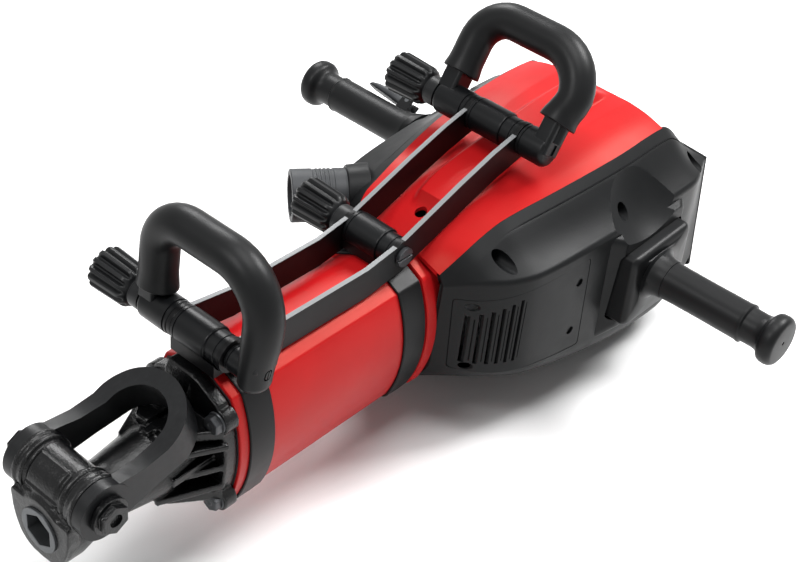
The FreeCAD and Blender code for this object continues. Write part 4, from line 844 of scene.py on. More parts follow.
@dataclass
class Knobs:
    """Fluted clamp knobs on the right."""

    radius: float = 21.0
    inner_radius: float = 19.0
    neck_r: float = 14.5
    length: float = 45.0
    lobes: int = 14
    depth: float = 3.4

    def build(self) -> None:
        """Make the three knobs on their cross tubes' axes."""
        for place, axis in CROSS_AXES.items():
            low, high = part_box(f"{place}_knob")
            knob = self.knob(axis, high.y / MM, low.y / MM)
            knob.part(f"{place}_clamp_knob", "knob_plastic", f"{place}_knob", f"{place}_clamp", sharp=40)

    def knob(self, place: Pair, start: float, end: float) -> Workpiece:
        """One knob from the neck at start to its end face at end, along -Y."""
        shoulder = end + self.length
        neck = self.neck_r
        profile = [(start, 8.1), (start, neck - 0.9), (start - 0.7, neck), (shoulder + 1.4, neck),
                   (shoulder + 0.6, neck - 0.8), (shoulder - 0.4, neck - 0.8), (shoulder - 1.0, neck + 0.4)]
        profile += [(shoulder - 1 - 4.5 * t, neck + 0.4 + (self.inner_radius - neck - 0.4) * t ** 0.7)
                    for t in (0.25, 0.5, 0.75, 1.0)]
        profile += [(shoulder - 7, self.inner_radius + 0.5)]
        profile += [(shoulder - 9 - (self.length - 12.5) * t,
                     self.inner_radius + 0.7 + (self.radius - self.inner_radius - 0.7) * t)
                    for t in (0.0, 0.25, 0.5, 0.75, 1.0)]
        profile += [(end + 1.6, self.radius - 0.7), (end + 0.4, self.radius - 2.2), (end, self.radius - 4),
                    (end, self.radius - 7), (end + 0.8, self.radius - 7.6), (end + 0.8, 0.0)]
        piece = Workpiece().lathe(profile, Axis.Y, (0, 0, 0), self.lobes * 12)
        for vert in piece.bm.verts:
            along = vert.co.y
            radius = math.hypot(vert.co.x, vert.co.z)
            if radius < neck + 1:
                continue
            turn = math.atan2(vert.co.z, vert.co.x) * self.lobes / math.tau
            groove = min(max((0.3 - abs(turn - math.floor(turn) - 0.5)) / 0.18, 0.0), 1.0)
            reach = (eased_value(-along, 1.5 - shoulder, 6 - shoulder)
                     * eased_value(along, end - 0.5, end + 1.0))
            share = 1 - self.depth * groove * reach / radius
            vert.co.x *= share
            vert.co.z *= share
        bore = Workpiece().drum(8.05, start - 31, start + 5, Axis.Y, (0, 0, 0))
        return piece.joined(bore).move(Matrix.Translation((place[0], 0, place[1])))


@dataclass
class CarryingHandle:
    """A carrying handle: hoop and lugs in steel, the hoop's upper part in rubber."""

    name: str
    lean: float
    booted: bool
    half: float = 62.0
    rise: float = 93.0
    bend: float = 45.0
    far_bend: float = 33.0
    rod_r: float = 8.0
    grip_r: float = 17.3
    lug_r: float = 17.5
    lug_end: float = 71.0
    lug_start: float = 32.8
    bare: float = 27.0
    pinch: float = 0.0

    def __post_init__(self) -> None:
        """Take the place of the cross bolt that the handle tilts about."""
        self.x, self.z = CROSS_AXES[self.name]

    def path(self, foot_left: float, foot_right: float) -> list[Pair]:
        """Centre line as (y, height above the lug's axis), from the left foot to the right."""
        low, far_low = self.rise - self.bend, self.rise - self.far_bend
        left = [(self.half, foot_left + (low - foot_left) * i / 6) for i in range(6)]
        right = [(-self.half, foot_right + (far_low - foot_right) * i / 6) for i in range(6)]
        inner, far_inner = self.half - self.bend, self.far_bend - self.half
        bends = arc((inner, low), self.bend, 0, 90, 10)
        across = [(inner + (far_inner - inner) * i / 8, self.rise) for i in range(1, 8)]
        other = arc((far_inner, far_low), self.far_bend, 90, 180, 10)
        return left + bends + across + other + right[::-1]

    def tube(self, path: Sequence[Pair], radii: Sequence[Pair], steps: int) -> Workpiece:
        """A tube of oval section along a path.

        Args:
            path: Its centre line, as (y, height above the lug's axis).
            radii: For each point, the radius across the hoop's plane and the one in it.
            steps: Points around the tube.

        Returns:
            The closed tube.
        """
        sections = []
        for i, (y, h) in enumerate(path):
            before, after = path[max(i - 1, 0)], path[min(i + 1, len(path) - 1)]
            along = Vector((after[0] - before[0], after[1] - before[1])).normalized()
            side = Vector((along.y, -along.x))
            flat, deep = radii[i]
            ring = []
            for k in range(steps):
                turn = math.tau * k / steps
                offset = side * (deep * math.sin(turn))
                ring.append((self.x + flat * math.cos(turn), y + offset.x, self.z + h + offset.y))
            sections.append(ring)
        return Workpiece().loft(sections)

    def build(self) -> None:
        """Make the steel and the rubber."""
        handle = f"{self.name}_handle"
        self.steel().turned(-self.lean, self.x, self.z).part(
            f"{self.name}_steel", "tube_steel", f"{handle}_frame", handle)
        self.rubber().turned(-self.lean, self.x, self.z).part(
            f"{self.name}_rubber", "grip_rubber", f"{handle}_grip", handle, sharp=50)

    def steel(self) -> Workpiece:
        """Lugs with foot blocks up to the rubber, and the hoop inside it."""
        line = self.path(10, 10)
        made = self.tube(line, [(self.rod_r, self.rod_r)] * len(line), 24)
        for side in (1, -1):
            made.with_(self.lug(side)).with_(self.stub(side))
        return made

    def lug(self, side: int) -> Workpiece:
        """The lug around the cross bolt on one side."""
        near = side > 0
        radius = self.lug_r - (5.2 if self.booted and near else 1.4 if near else 0.8)
        start, end = self.lug_start, 64.0 if near else self.lug_end
        core = 0.0 if near else 8.1
        lug = Workpiece().lathe(
            [(start, 8.1), (start, radius - 1.3), (start + 0.8, radius - 0.5), (start + 3.2, radius - 0.5),
             (start + 3.6, radius - 1.2), (start + 4.4, radius - 1.2), (start + 4.8, radius),
             (end - 4.4, radius), (end - 2.4, radius - 0.7), (end - 0.8, radius - 2.2), (end, radius - 4.4),
             (end, core)] + ([(end - 4, 0.0), (end - 4, 8.1)] if near else []) + [(start, 8.1)],
            Axis.Y, (0, 0, 0), 80)
        if not near:
            lug.mirrored()
        return lug.move(Matrix.Translation((self.x, 0, self.z)))

    def stub(self, side: int) -> Workpiece:
        """The block between a lug and the rubber; the bare left one runs down over its lug."""
        if side > 0 and not self.booted:
            outline = rounded([(-14, -9), (14, -9), (14, 9.5), (-14, 9.5)], [4, 4, 5, 5], 5)
            block = Workpiece().plate(outline, -4, 34, Axis.Z).eased(1.0)
            block.move(Matrix.Translation((self.x, self.half - self.pinch, self.z)))
            recess = Workpiece().plate(squircle(3.4, 5.4, 1.4, 4), 62.6, 80, Axis.Y)
            return block.joined(recess.move(Matrix.Translation((self.x, 0, self.z + 3))))
        outline = rounded([(-13.5, -11), (13.5, -11), (13.5, 9), (-13.5, 9)], [4, 4, 4, 4], 5)
        block = Workpiece().plate(outline, 9, 34, Axis.Z).eased(0.8)
        return block.move(Matrix.Translation((self.x, side * self.half, self.z)))

    def rubber(self) -> Workpiece:
        """Rubber around the hoop, flared at its feet; the booted one also closes around its left lug."""
        foot_left = -8.0 if self.booted else self.bare
        path = self.path(foot_left, self.bare)
        if self.booted:
            path = [(self.half, foot_left - drop) for drop in (9.2, 8.4, 6.6, 3.6)] + path
        radii = []
        placed = []
        for y, h in path:
            booted_leg = self.booted and y > 0
            swell = 0.8 * eased_value(h, 60, 88)
            if booted_leg:
                slim = 1 - eased_value(h, -10, 46)
                flat, deep = self.grip_r + swell - 1.6 * slim, self.grip_r + swell * 0.4 - 3.6 * slim
                if h < foot_left - 0.5:
                    round_off = math.sqrt(max(1 - ((foot_left - h) / 9.8) ** 2, 0.05))
                    flat, deep = flat * round_off, deep * round_off
                y = y - 3.5 * slim
            else:
                flare = 2.0 * (1 - eased_value(h, self.bare, self.bare + 14)) if h < 50 else 0.0
                flat, deep = self.grip_r + swell + flare * 0.6, self.grip_r + swell * 0.4 + flare
                if y > 0:
                    y = y - self.pinch * (1 - eased_value(h, self.bare, 58))
            placed.append((y, h))
            radii.append((flat, deep))
        made = self.tube(placed, radii, 48)
        for vert in made.bm.verts:
            if vert.co.z < self.z + self.bare + 8 and not (self.booted and vert.co.y > 0):
                tilt = (vert.co.x - self.x) * 0.12
                vert.co.z += tilt * (1 - eased_value(vert.co.z, self.z + self.bare, self.z + self.bare + 8))
        made.eased(1.4, 50, 3)
        if not self.booted:
            return made
        recess = Workpiece().plate(squircle(3.6, 6.0, 3.5, 8), 68.2, 85, Axis.Y)
        ring = Workpiece().plate(squircle(2.4, 4.6, 2.3, 8), 60.0, 85, Axis.Y)
        slit = Workpiece().box((-0.5, 60.0, -5.6), (0.5, 85, 5.6))
        tool = recess.joined(ring).with_(slit).move(Matrix.Translation((self.x + 1, 0, self.z + 6)))
        hollow = Workpiece().drum(self.lug_r - 4.8, 30, 64.4, Axis.Y, (self.x, 0, self.z))
        return made.joined(hollow).joined(tool)


@dataclass
class Housing:
    """Motor housing: side covers, top cover, tail cap, base, rear plate and vent panel."""

    wall: float = 4.0
    lip: float = 12.0
    step: float = 5.0
    screw_depth: float = 1.8
    spine_y: float = 23.0
    spine_rise: float = 8.0
    spine_hole: Pair = (-451.3, 5.9)
    dish: Triple = (-636.0, 190.0, 143.0)
    dish_r: float = 102.0
    mound_root: tuple[Pair, ...] = ((-580, 69.5), (-590, -62), (-712, -62), (-712, 69.5))
    mound_face: tuple[Pair, ...] = ((-597, 64.8), (-607, -46), (-694, -46), (-694, 64.8))
    # One row per station: x, then (z, half width) at the roof's edge, seam, crease, lower side and keel
    stations: tuple = (
        (-420, (83, 14), (70, 54), (59, 59.5), (-46, 54), (-66, 34)),
        (-440, (92, 19), (88, 62), (70, 91), (-43, 89), (-67, 50)),
        (-462, (100, 24), (97, 64), (72, 110), (-44, 108), (-76, 56)),
        (-490, (108, 28), (105, 67), (73, 121), (-52, 118), (-84, 64)),
        (-560, (119, 34), (113, 78), (74, 128), (-66, 125), (-108, 74)),
        (-640, (128, 40), (117, 85), (74, 132), (-82, 126), (-122, 80)),
        (-718, (127, 42), (117, 85), (74, 133), (-92, 124), (-122, 80)),
        (-768, (76, 42), (75, 84), (73, 113), (-60, 122), (-98, 76)),
    )

    def corners(self, x: float) -> list[Pair]:
        """The five corners of the half outline at a station, as (y, z)."""
        rows = self.stations
        i = next((k for k in range(len(rows) - 1) if x >= rows[k + 1][0]), len(rows) - 2)
        a, b = rows[i], rows[i + 1]
        t = (a[0] - x) / (a[0] - b[0])
        found = []
        for k in range(1, 6):
            pair = []
            for j in (1, 0):
                before = rows[max(i - 1, 0)]
                after = rows[min(i + 2, len(rows) - 1)]
                gap = a[0] - b[0]
                rise = b[k][j] - a[k][j]
                slope_a = rise if before is a else (b[k][j] - before[k][j]) / (before[0] - b[0]) * gap
                slope_b = rise if after is b else (after[k][j] - a[k][j]) / (a[0] - after[0]) * gap
                if after[0] == -768 or b[0] == -768:
                    slope_b = rise if b[0] == -768 else slope_b * 0.3
                    slope_a = slope_a * (0.3 if b[0] == -768 else 1.0)
                pair.append(a[k][j] * (1 + 2 * t) * (1 - t) ** 2 + b[k][j] * t * t * (3 - 2 * t)
                            + slope_a * t * (1 - t) ** 2 - slope_b * t * t * (1 - t))
            found.append(tuple(pair))
        return found

    def along(self, first: float = -420.0, last: float = -768.0, extra: float = 0.0) -> list[float]:
        """Stations' places from front to rear."""
        count = int((first - last) / self.step)
        places = [first + (last - first) * i / count for i in range(count + 1)]
        if extra:
            places = [first + extra] + places + [last - extra]
        return places

    def side_path(self, x: float, inset: float, grooved: bool) -> list[Pair]:
        """The side cover's outline from the seam to the keel, moved in by a distance."""
        x = min(max(x, -768.0), -420.0)
        _, seam, crease, low, keel = [Vector(corner) for corner in self.corners(x)]
        down = (crease - seam).normalized()
        length = (crease - seam).length
        normal = Vector((-down.y, down.x))
        normal = normal if normal.x > 0 else -normal
        lip = min(self.lip, length * 0.4)
        ends = eased_value(-x, 478, 512) * (1 - eased_value(-x, 742, 760)) if grooved else 0.0
        points = []
        sag = 2.4 * eased_value(-x, 430, 500) * (1 - eased_value(-x, 745, 766))
        for place, depth in ((0.15, 0.0), (lip - 1.2, 0.0), (lip, 0.25), (lip + 0.25, 1.5), (lip + 1.35, 1.5),
                             (lip + 1.6, 0.55), (lip + 4, 0.5)):
            points.append(seam + down * place - normal * (depth * ends))
        for share in (0.5, 0.62, 0.74, 0.86):
            place = lip + 4 + (length - lip - 4) * (share - 0.38) / 0.62
            points.append(seam + down * place - normal * (sag * math.sin(math.pi * (share - 0.38) / 0.62)
                                                         + 0.4 * ends * (1 - share)))
        trim = min(4.5, (crease - points[-1]).length * 0.9)
        points += [Vector(p) for p in rounded([tuple(points[-1]), tuple(crease), tuple(low)], [0, trim, 0], 6,
                                              False)[1:-1]]
        span = low - crease
        points += [crease + span * share for share in (0.2, 0.4, 0.6)]
        points += [Vector(p) for p in rounded([tuple(points[-1]), tuple(low), tuple(keel)], [0, 15, 0], 8,
                                              False)[1:-1]]
        points.append(keel + (low - keel).normalized() * 0.15)
        if not inset:
            return [tuple(point) for point in points]
        moved = []
        for i, point in enumerate(points):
            tangent = (points[min(i + 1, len(points) - 1)] - points[max(i - 1, 0)]).normalized()
            inward = Vector((tangent.y, -tangent.x))
            inward = inward if inward.x < 0 or (abs(inward.x) < 0.3 and inward.y > 0) else -inward
            moved.append(tuple(point + inward * inset))
        return moved

    def side_block(self, inset: float, grooved: bool) -> Workpiece:
        """Solid under the side cover's skin, or the core that hollows it when inset."""
        sections = []
        for x in self.along(extra=6.0 if inset else 0.0):
            path = self.side_path(x, inset, grooved)
            if inset:
                path = path + [(path[-1][0], -300.0), (-20.0, -300.0), (-20.0, 300.0), (path[0][0], 300.0)]
            else:
                path = path + [(0.0, path[-1][1]), (0.0, path[0][1])]
            sections.append([(x, y, z) for y, z in path])
        return Workpiece().loft(sections)

    def dish_ball(self, grow: float) -> Workpiece:
        """The ball that hollows out the dish."""
        return Workpiece().ball(self.dish_r + grow, self.dish)

    def mound(self, shrink: float) -> Workpiece:
        """Raised seat around the boot, or the room inside it when shrunk."""
        sections = []
        for y, share, pull in ((116.0, -0.6, 0.0), (132.0, 0.467, 0.0), (138.4, 0.893, 0.0),
                               (139.6, 0.973, 0.5), (140.0, 1.0, 1.8)):
            corners = []
            for (x0, z0), (x1, z1) in zip(self.mound_root, self.mound_face):
                x, z = x0 + (x1 - x0) * share, z0 + (z1 - z0) * share
                corners.append((x + math.copysign(shrink + pull, Boot.x - x),
                                z + math.copysign(shrink + pull, Boot.z - z)))
            sections.append([(x, y - shrink, z) for x, z in rounded(corners, [9, 9, 9, 9], 6)])
        return Workpiece().loft(sections)

    def wells(self, grow: float, front: bool) -> Workpiece:
        """The screw wells in the upper facet."""
        made = Workpiece()
        places = ((-466, 70, 83, 7.5), (-621, 92, 77, 7.5), (-746, 88, 78, 6.5))
        for x, y, z, radius in places if front else places[1:]:
            made.drum(radius + grow, y - grow, y + 70, Axis.Y, (x, 0, z), 48)
        return made

    def side(self, front_well: bool) -> Workpiece:
        """The hollow side cover with its dish, wells and raised seat."""
        outer = self.side_block(0.0, True).joined(self.mound(0.0), Join.ADD)
        outer = outer.joined(self.dish_ball(0.0)).joined(self.wells(0.0, front_well))
        core = self.side_block(self.wall, False).joined(self.mound(self.wall), Join.ADD)
        core = core.joined(self.dish_ball(self.wall)).joined(self.wells(2.5, front_well))
        return outer.joined(core)

    def boot_opening(self, gap: float) -> Workpiece:
        """Tool for the opening around a grip's boot."""
        return Workpiece().loft(Boot().rings((100.0, 170.0), gap))

    def vent_outline(self, gap: float) -> list[Pair]:
        """The vent panel's outline as (x, z)."""
        return rounded([(-426 - gap, 47 - gap), (-485, 59 - gap), (-556 + gap, 61 - gap),
                        (-563 + gap, -50 + gap), (-500, -42 + gap), (-428 - gap, -36 + gap)],
                       [3, 22, 5, 5, 20, 3], 5)

    def build(self) -> None:
        """Make all pieces."""
        left = self.side(True).joined(self.boot_opening(0.7))
        left = left.joined(Workpiece().plate(self.vent_outline(-0.55), 40, 180, Axis.Y))
        left.part("side_cover_left", "dark_plastic", "left_cover", sharp=24)
        right = self.side(False).joined(self.boot_opening(0.7)).mirrored()
        inlet = Inlet()
        right = right.joined(inlet.seat(), Join.ADD).joined(inlet.bore())
        right.part("side_cover_right", "dark_plastic", "right_cover", sharp=24)
        self.vent()
        self.top()
        dress("tail_cover", "tail_cap", "dark_plastic", 1.5)
        dress("base_pan", "base_tray", "dark_plastic", 1.5)
        dress("rear_plate", "rear_wall", "dark_plastic", 1.2)
        dress("rear_panel", "rear_badge", "red_paint", 1.2)
        screws = Workpiece.of_node("panel_screws").eased(0.4)
        screws.move(Matrix.Translation((0, -self.screw_depth, 0))).part(
            "vent_screws", "tube_steel", "panel_screws")

    def flank_y(self, x: float, z: float) -> float:
        """Half width of the flank at a place."""
        _, _, crease, low, _ = self.corners(x)
        share = (crease[1] - z) / (crease[1] - low[1])
        return crease[0] + (low[0] - crease[0]) * share

    def vent(self) -> None:
        """Vent panel with its slots and recessed holes."""
        sections = []
        heights = [-62 + 7 * i for i in range(19)]
        for x in self.along(-420.0, -575.0):
            outer = [(x, self.flank_y(x, z) - 0.3, z) for z in heights]
            inner = [(x, self.flank_y(x, z) - 3.6, z) for z in reversed(heights)]
            sections.append(outer + inner)
        panel = Workpiece().loft(sections)
        panel = panel.joined(Workpiece().plate(self.vent_outline(0.0), 40, 180, Axis.Y), Join.KEEP_SHARED)
        tools = Workpiece()
        for i in range(6):
            x = -434 - 7.6 * i
            top = 30 + 3.6 * i
            tools.box((x - 1.5, 40, -27), (x + 1.5, 180, top))
            tools.box((x - 4.3, 40, -24), (x - 3.5, 180, top - 3))
        for x, z in ((-436, 41), (-437, -31)):
            tools.drum(4.2, 40, 180, Axis.Y, (x, 0, z), 32)
        low, high = (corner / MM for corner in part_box("panel_screws"))
        for z in (low.z + 4, high.z - 4):
            tools.drum(4.6, 40, 180, Axis.Y, ((low.x + high.x) / 2, 0, z), 32)
        panel.joined(tools).part("vent_grille", "dark_plastic", "vent_panel", sharp=24)

    def top(self) -> None:
        """Red top cover with its raised spine."""
        sections = []
        for x in self.along(-420.0, -718.0):
            roof, seam, *_ = [Vector(corner) for corner in self.corners(x)]
            rise = self.spine_rise * eased_value(-x, 457, 466) * (1 - eased_value(-x, 690, 716))
            hip = roof.lerp(seam, 0.55) + Vector((0.0, 2.2 * eased_value(-x, 440, 520)))
            foot = min(self.spine_y, roof.x - 5.0)
            half = rounded([(0.0, roof.y + rise), (foot - 6.0, roof.y + rise), (foot, roof.y), tuple(roof),
                            tuple(hip), tuple(seam)], [0, 2.5, 2.4, 2.4, 10, 0], 4, False)
            half[-1] = tuple(seam + (hip - seam).normalized() * 0.15)
            outer = [(-y, z) for y, z in reversed(half)] + half[1:]
            inner = [(y * 0.955, z - self.wall) for y, z in outer]
            sections.append([(x, y, z) for y, z in outer + inner[::-1]])
        cover = Workpiece().loft(sections)
        x, radius = self.spine_hole
        hole = Workpiece().drum(radius, 60, 140, Axis.Z, (x, 0, 0), 36)
        cover.joined(hole).part("top_hood", "red_paint", "top_cover", sharp=24)


@dataclass
class Boot:
    """Rubber boot at a main grip's root."""

    x: float = -645.0
    z: float = 8.0
    half_x: float = 47.0
    half_z: float = 42.0
    grip_x: float = -627.0
    grip_z: float = 26.0
    arch: float = 1.5
    travel: float = 2.0

    def ring(self, y: float, half_x: float, half_z: float, corner: float, shift: float,
             arch: float) -> list[Triple]:
        """One section; shift moves its centre from the base's to the grip's."""
        cx = self.x + (self.grip_x - self.x) * shift
        cz = self.z + (self.grip_z - self.z) * shift
        points = []
        for a, b in squircle(half_x, half_z, corner):
            lift = arch * (-a / half_x) if b > 0 else 0.0
            points.append((cx + a, y, cz + b + lift * eased_value(b, 0, half_z * 0.6)))
        return points

    def rings(self, places: Sequence[float], gap: float) -> list[list[Triple]]:
        """Sections of the opening at places along Y: the base grown by its travel and a gap."""
        return [self.ring(y, self.half_x + self.travel + gap, self.half_z + gap, 7.0, 0.0, self.arch)
                for y in places]

    def build(self, inner: float, face: float, end: float) -> Workpiece:
        """The boot on the left: base block, then a flare down to the grip."""
        hx, hz, arch = self.half_x, self.half_z, self.arch
        sections = [self.ring(inner, hx, hz, 7, 0, arch), self.ring(face - 6, hx, hz, 7, 0, arch),
                    self.ring(face - 4, hx - 0.4, hz - 0.4, 7, 0, arch),
                    self.ring(face - 2, hx - 1.5, hz - 1.5, 7.4, 0, arch),
                    self.ring(face - 0.6, hx - 3.2, hz - 3.2, 8, 0, arch),
                    self.ring(face + 0.2, hx - 5.6, hz - 5.6, 9, 0.01, arch),
                    self.ring(face + 1.2, hx - 10, hz - 9, 12, 0.06, arch * 0.8),
                    self.ring(face + 3.2, hx - 15.5, hz - 13.5, 17, 0.28, arch * 0.5)]
        for share in (0.06, 0.16, 0.3, 0.48, 0.7, 1.0):
            radius = 20.2 + 7.0 * (1 - share) ** 2.2
            y = face + 3.2 + (end - face - 3.2) * share
            square = max(0.0, 1 - share * 2.6)
            sections.append(self.ring(y, radius + 1.5 * square, radius, radius - 4 * square,
                                      0.58 + 0.42 * min(share * 3, 1.0), arch * 0.2 * square))
        return Workpiece().loft(sections)


@dataclass
class MainGrips:
    """Handlebar with its boots, sleeves and the switch lever."""

    x: float = -627.0
    z: float = 26.0
    span: float = 306.0
    radius: float = 19.0
    inner: float = 114.0
    face: float = 154.0
    boot_end: float = 178.0
    bar_r: float = 12.7
    # The lever's blade: place along the grip, then lowest, highest and half width above the sleeve
    blade: tuple = ((183.0, 2.4, 8.0, 4.4), (185.0, 1.4, 10.5, 6.2), (193.5, 1.9, 12.5, 6.3),
                    (196.5, 2.2, 13.0, 8.6), (206.0, 3.2, 13.6, 9.6), (218.0, 4.4, 13.2, 9.6),
                    (230.0, 5.6, 12.0, 8.6), (237.5, 6.4, 10.6, 6.8), (241.5, 7.0, 9.2, 3.6))

    def build(self) -> None:
        """Make all pieces."""
        for side in ("left", "right"):
            boot = Boot().build(self.inner, self.face, self.boot_end)
            bar = Workpiece().drum(self.bar_r, 100, 190, Axis.Y, (self.x, 0, self.z), 48)
            boot = boot.joined(bar)
            sleeve = self.sleeve()
            if side == "right":
                boot.mirrored()
                sleeve.mirrored()
            boot.part(f"{side}_boot", "grip_rubber", f"{side}_grip_boot", "grips", sharp=40)
            sleeve.part(f"{side}_sleeve", "grip_rubber", f"{side}_grip_sleeve", "grips", sharp=40)
        Workpiece.of_node("lever_bracket").eased(1.2).part(
            "lever_clamp", "grip_rubber", "lever_bracket", "grips")
        self.paddle().part("trigger_lever", "lever_grey", "switch_lever", "lever")

    def paddle(self) -> Workpiece:
        """Crowned lever blade that closes in on the sleeve towards its pivot."""
        tilt = math.radians(35.0)
        out, over = Vector((-math.cos(tilt), 0, math.sin(tilt))), Vector((math.sin(tilt), 0, math.cos(tilt)))
        sections = []
        for along, low, high, half in self.blade:
            middle, rise = (low + high) / 2, (high - low) / 2
            ring = []
            for a, b in squircle(half, rise, min(half, rise) * 0.8, 6):
                crown = 0.9 * (a / 9.6) ** 2 * (1 if b > 0 else 0)
                spot = out * (self.radius + middle + b - crown) + over * a
                ring.append((self.x + spot.x, -along, self.z + spot.z))
            sections.append(ring)
        return Workpiece().loft(sections)

    def sleeve(self) -> Workpiece:
        """Rubber sleeve with its ring, waist and end flange."""
        r, end = self.radius, self.span
        profile = [(self.boot_end + 0.3, 0.0), (self.boot_end + 0.3, r + 0.6), (self.boot_end + 10, r + 0.2),
                   (220, r), (262, r + 0.2), (264.5, r + 0.9), (266, r + 0.9), (266.8, r + 0.1),
                   (267.6, r - 1.2), (272, r - 1.4), (280, r - 1.5), (285, r - 0.9), (287.6, r + 0.8),
                   (289.4, r + 3.4), (291.2, r + 5.4), (294, r + 6.5), (299, r + 6.7), (302.4, r + 5.9),
                   (304.8, r + 4.0), (end, r + 1.4), (end - 0.2, 4.0), (end - 0.4, 2.0), (end - 3.0, 1.6),
                   (end - 3.0, 0.0)]
        sleeve = Workpiece().lathe(profile, Axis.Y, (self.x, 0, self.z), 80)
        bore = Workpiece().drum(self.bar_r, 150, end - 12, Axis.Y, (self.x, 0, self.z), 48)
        return sleeve.joined(bore)


@dataclass
class Inlet:
    """Power inlet on the right, turned towards the front."""

    x: float = -456.0
    y: float = -91.0
    z: float = 66.0
    angle: float = 51.0
    length: float = 60.0
    radius: float = 26.0

    def placing(self) -> Matrix:
        """Lays +Z at the origin along the inlet's axis, starting at its root."""
        turn = math.radians(self.angle)
        out = Vector((math.sin(turn), -math.cos(turn), 0))
        return Matrix.Translation((self.x, self.y, self.z)) @ out.to_track_quat("Z", "Y").to_matrix().to_4x4()

    def seat(self) -> Workpiece:
        """The raised round seat on the side cover."""
        return Workpiece().drum(31.0, -16, 6, Axis.Z, (0, 0, 0), 64, 29.0).move(self.placing()).eased(1.5)

    def bore(self) -> Workpiece:
        """Tool for the hole in the side cover."""
        return Workpiece().drum(self.radius + 0.5, -6, 80, Axis.Z, (0, 0, 0)).move(self.placing())

    def build(self) -> None:
        """Ribbed housing with a recess for the plug."""
        r, end = self.radius, self.length
        profile = [(-5.6, 0.0), (-5.6, r), (18.0, r), (18.4, r - 0.7)]
        for i in range(4):
            start = 21 + 4.0 * i
            profile += [(start, r - 0.7), (start + 0.4, r), (start + 2.2, r), (start + 2.6, r - 0.7)]
        profile += [(38.4, r - 0.7), (39.4, r + 0.1), (end - 0.8, r + 0.1), (end, r - 0.7), (end, 20.0),
                    (end - 36, 20.0), (end - 36, 0.0)]
        made = Workpiece().lathe(profile, Axis.Z, (0, 0, 0), 80).move(self.placing())
        made.part("lead_socket", "inlet_grey", "power_inlet")


# Studio

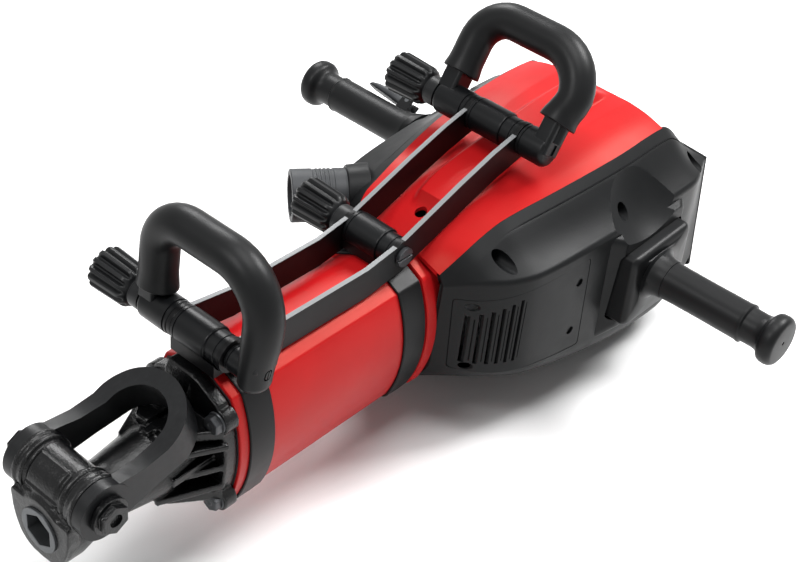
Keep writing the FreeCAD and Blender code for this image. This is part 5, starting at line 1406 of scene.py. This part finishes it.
@dataclass
class Studio:
    """Pale floor, soft lamps and the camera."""

    floor_z: float = -0.1225
    floor_half: float = 6.0
    fade_start: float = 1.0
    fade_end: float = 2.2
    ambient: float = 0.3
    focal_mm: float = 74.75
    yaw: float = 128.44
    pitch: float = 38.14
    roll: float = 5.84
    eye: Triple = (0.54166, 0.77181, 1.00021)

    def build(self) -> None:
        """Make floor, lamps and camera."""
        self.floor()
        self.world()
        self.lamp("back", (-1.9, 0.5, 1.7), (-0.45, 0.05, 0.0), 0.8, 60.0)
        self.lamp("far", (-1.5, -1.5, 1.5), (-0.35, 0.0, 0.05), 0.7, 28.0)
        self.lamp("front", (1.3, -0.3, 1.9), (-0.3, 0.0, 0.0), 0.7, 22.0)
        self.lamp("top", (-0.4, 0.2, 2.4), (-0.4, 0.1, 0.0), 1.2, 36.0)
        self.camera()

    def floor(self) -> None:
        """A wide pale floor that runs out into plain white away from the breaker."""
        shader = Shader("studio_floor")
        shader.set({"Base Color": (0.93, 0.93, 0.93), "Roughness": 0.9, "Specular IOR Level": 0.0})
        length = shader.node("ShaderNodeVectorMath", {"operation": "LENGTH"}, {0: shader.place})
        far = Signal(shader, length.outputs["Value"]).between(self.fade_start, self.fade_end)
        seen = shader.backdrop(shader.surface, shader.node("ShaderNodeEmission"), far)
        shader.feed(shader.output.inputs["Surface"], seen)
        sheet = bmesh.new()
        bmesh.ops.create_grid(sheet, x_segments=1, y_segments=1, size=self.floor_half,
                              matrix=Matrix.Translation((0, 0, self.floor_z)))
        mesh = bpy.data.meshes.new("floor")
        sheet.to_mesh(mesh)
        sheet.free()
        mesh.materials.append(shader.material)
        linked("floor", mesh)

    def world(self) -> None:
        """Plain dim light all round; the camera, reflections and glass see a pale backdrop."""
        world = bpy.data.worlds.new("studio")
        bpy.context.scene.world = world
        nodes = Nodes(world)
        dim = nodes.node("ShaderNodeBackground", None, {"Strength": self.ambient})
        seen = nodes.backdrop(dim, nodes.node("ShaderNodeBackground"))
        nodes.node("ShaderNodeOutputWorld", None, {"Surface": seen})

    def lamp(self, name: str, place: Triple, aim: Triple, size: float, power: float) -> None:
        """A square softbox."""
        data = bpy.data.lights.new(name, "AREA")
        data.size = size
        data.energy = power
        lamp = linked(name, data)
        lamp.location = place
        lamp.rotation_euler = (Vector(aim) - Vector(place)).to_track_quat("-Z", "Y").to_euler()

    def camera(self) -> None:
        """The camera that looks down on the left side from the front."""
        yaw, pitch, roll = (math.radians(angle) for angle in (self.yaw, self.pitch, self.roll))
        ahead = Vector((-math.sin(yaw) * math.cos(pitch), math.cos(yaw) * math.cos(pitch), -math.sin(pitch)))
        level = Vector((math.cos(yaw), math.sin(yaw), 0.0))
        upright = level.cross(ahead)
        right = level * math.cos(roll) + upright * math.sin(roll)
        up = upright * math.cos(roll) - level * math.sin(roll)
        data = bpy.data.cameras.new("camera")
        data.lens = self.focal_mm
        data.sensor_width = 36.0
        data.clip_end = 20.0
        camera = linked("camera", data)
        turn = Matrix((right, up, -ahead)).transposed().to_4x4()
        camera.matrix_world = Matrix.Translation(self.eye) @ turn
        bpy.context.scene.camera = camera


def dress_inner_nodes(frame: dict) -> None:
    """Give every CAD node that still shows the finish of its slot."""
    slots = {row["node"]: row["material_slot"] for row in frame["record"]["subparts"]}
    for node, thing in frame["nodes"].items():
        if thing.hide_render:
            continue
        thing.data.materials.clear()
        thing.data.materials.append(bpy.data.materials[slots[node]])
        thing.data.shade_smooth()
        thing.data.set_sharp_from_angle(angle=math.radians(30))


def main() -> None:
    """Build the whole scene."""
    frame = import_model()
    for finish in FINISHES:
        finish.build()
    Nose().build()
    Barrel().build()
    Rails().build()
    Knobs().build()
    CarryingHandle("front", lean=5.0, booted=True, bare=19.0).build()
    CarryingHandle("rear", lean=33.0, booted=False, pinch=6.0).build()
    Housing().build()
    MainGrips().build()
    Inlet().build()
    dress_inner_nodes(frame)
    Studio().build()
    bpy.context.scene.view_settings.view_transform = "Standard"


if __name__ == "__main__":
    main()
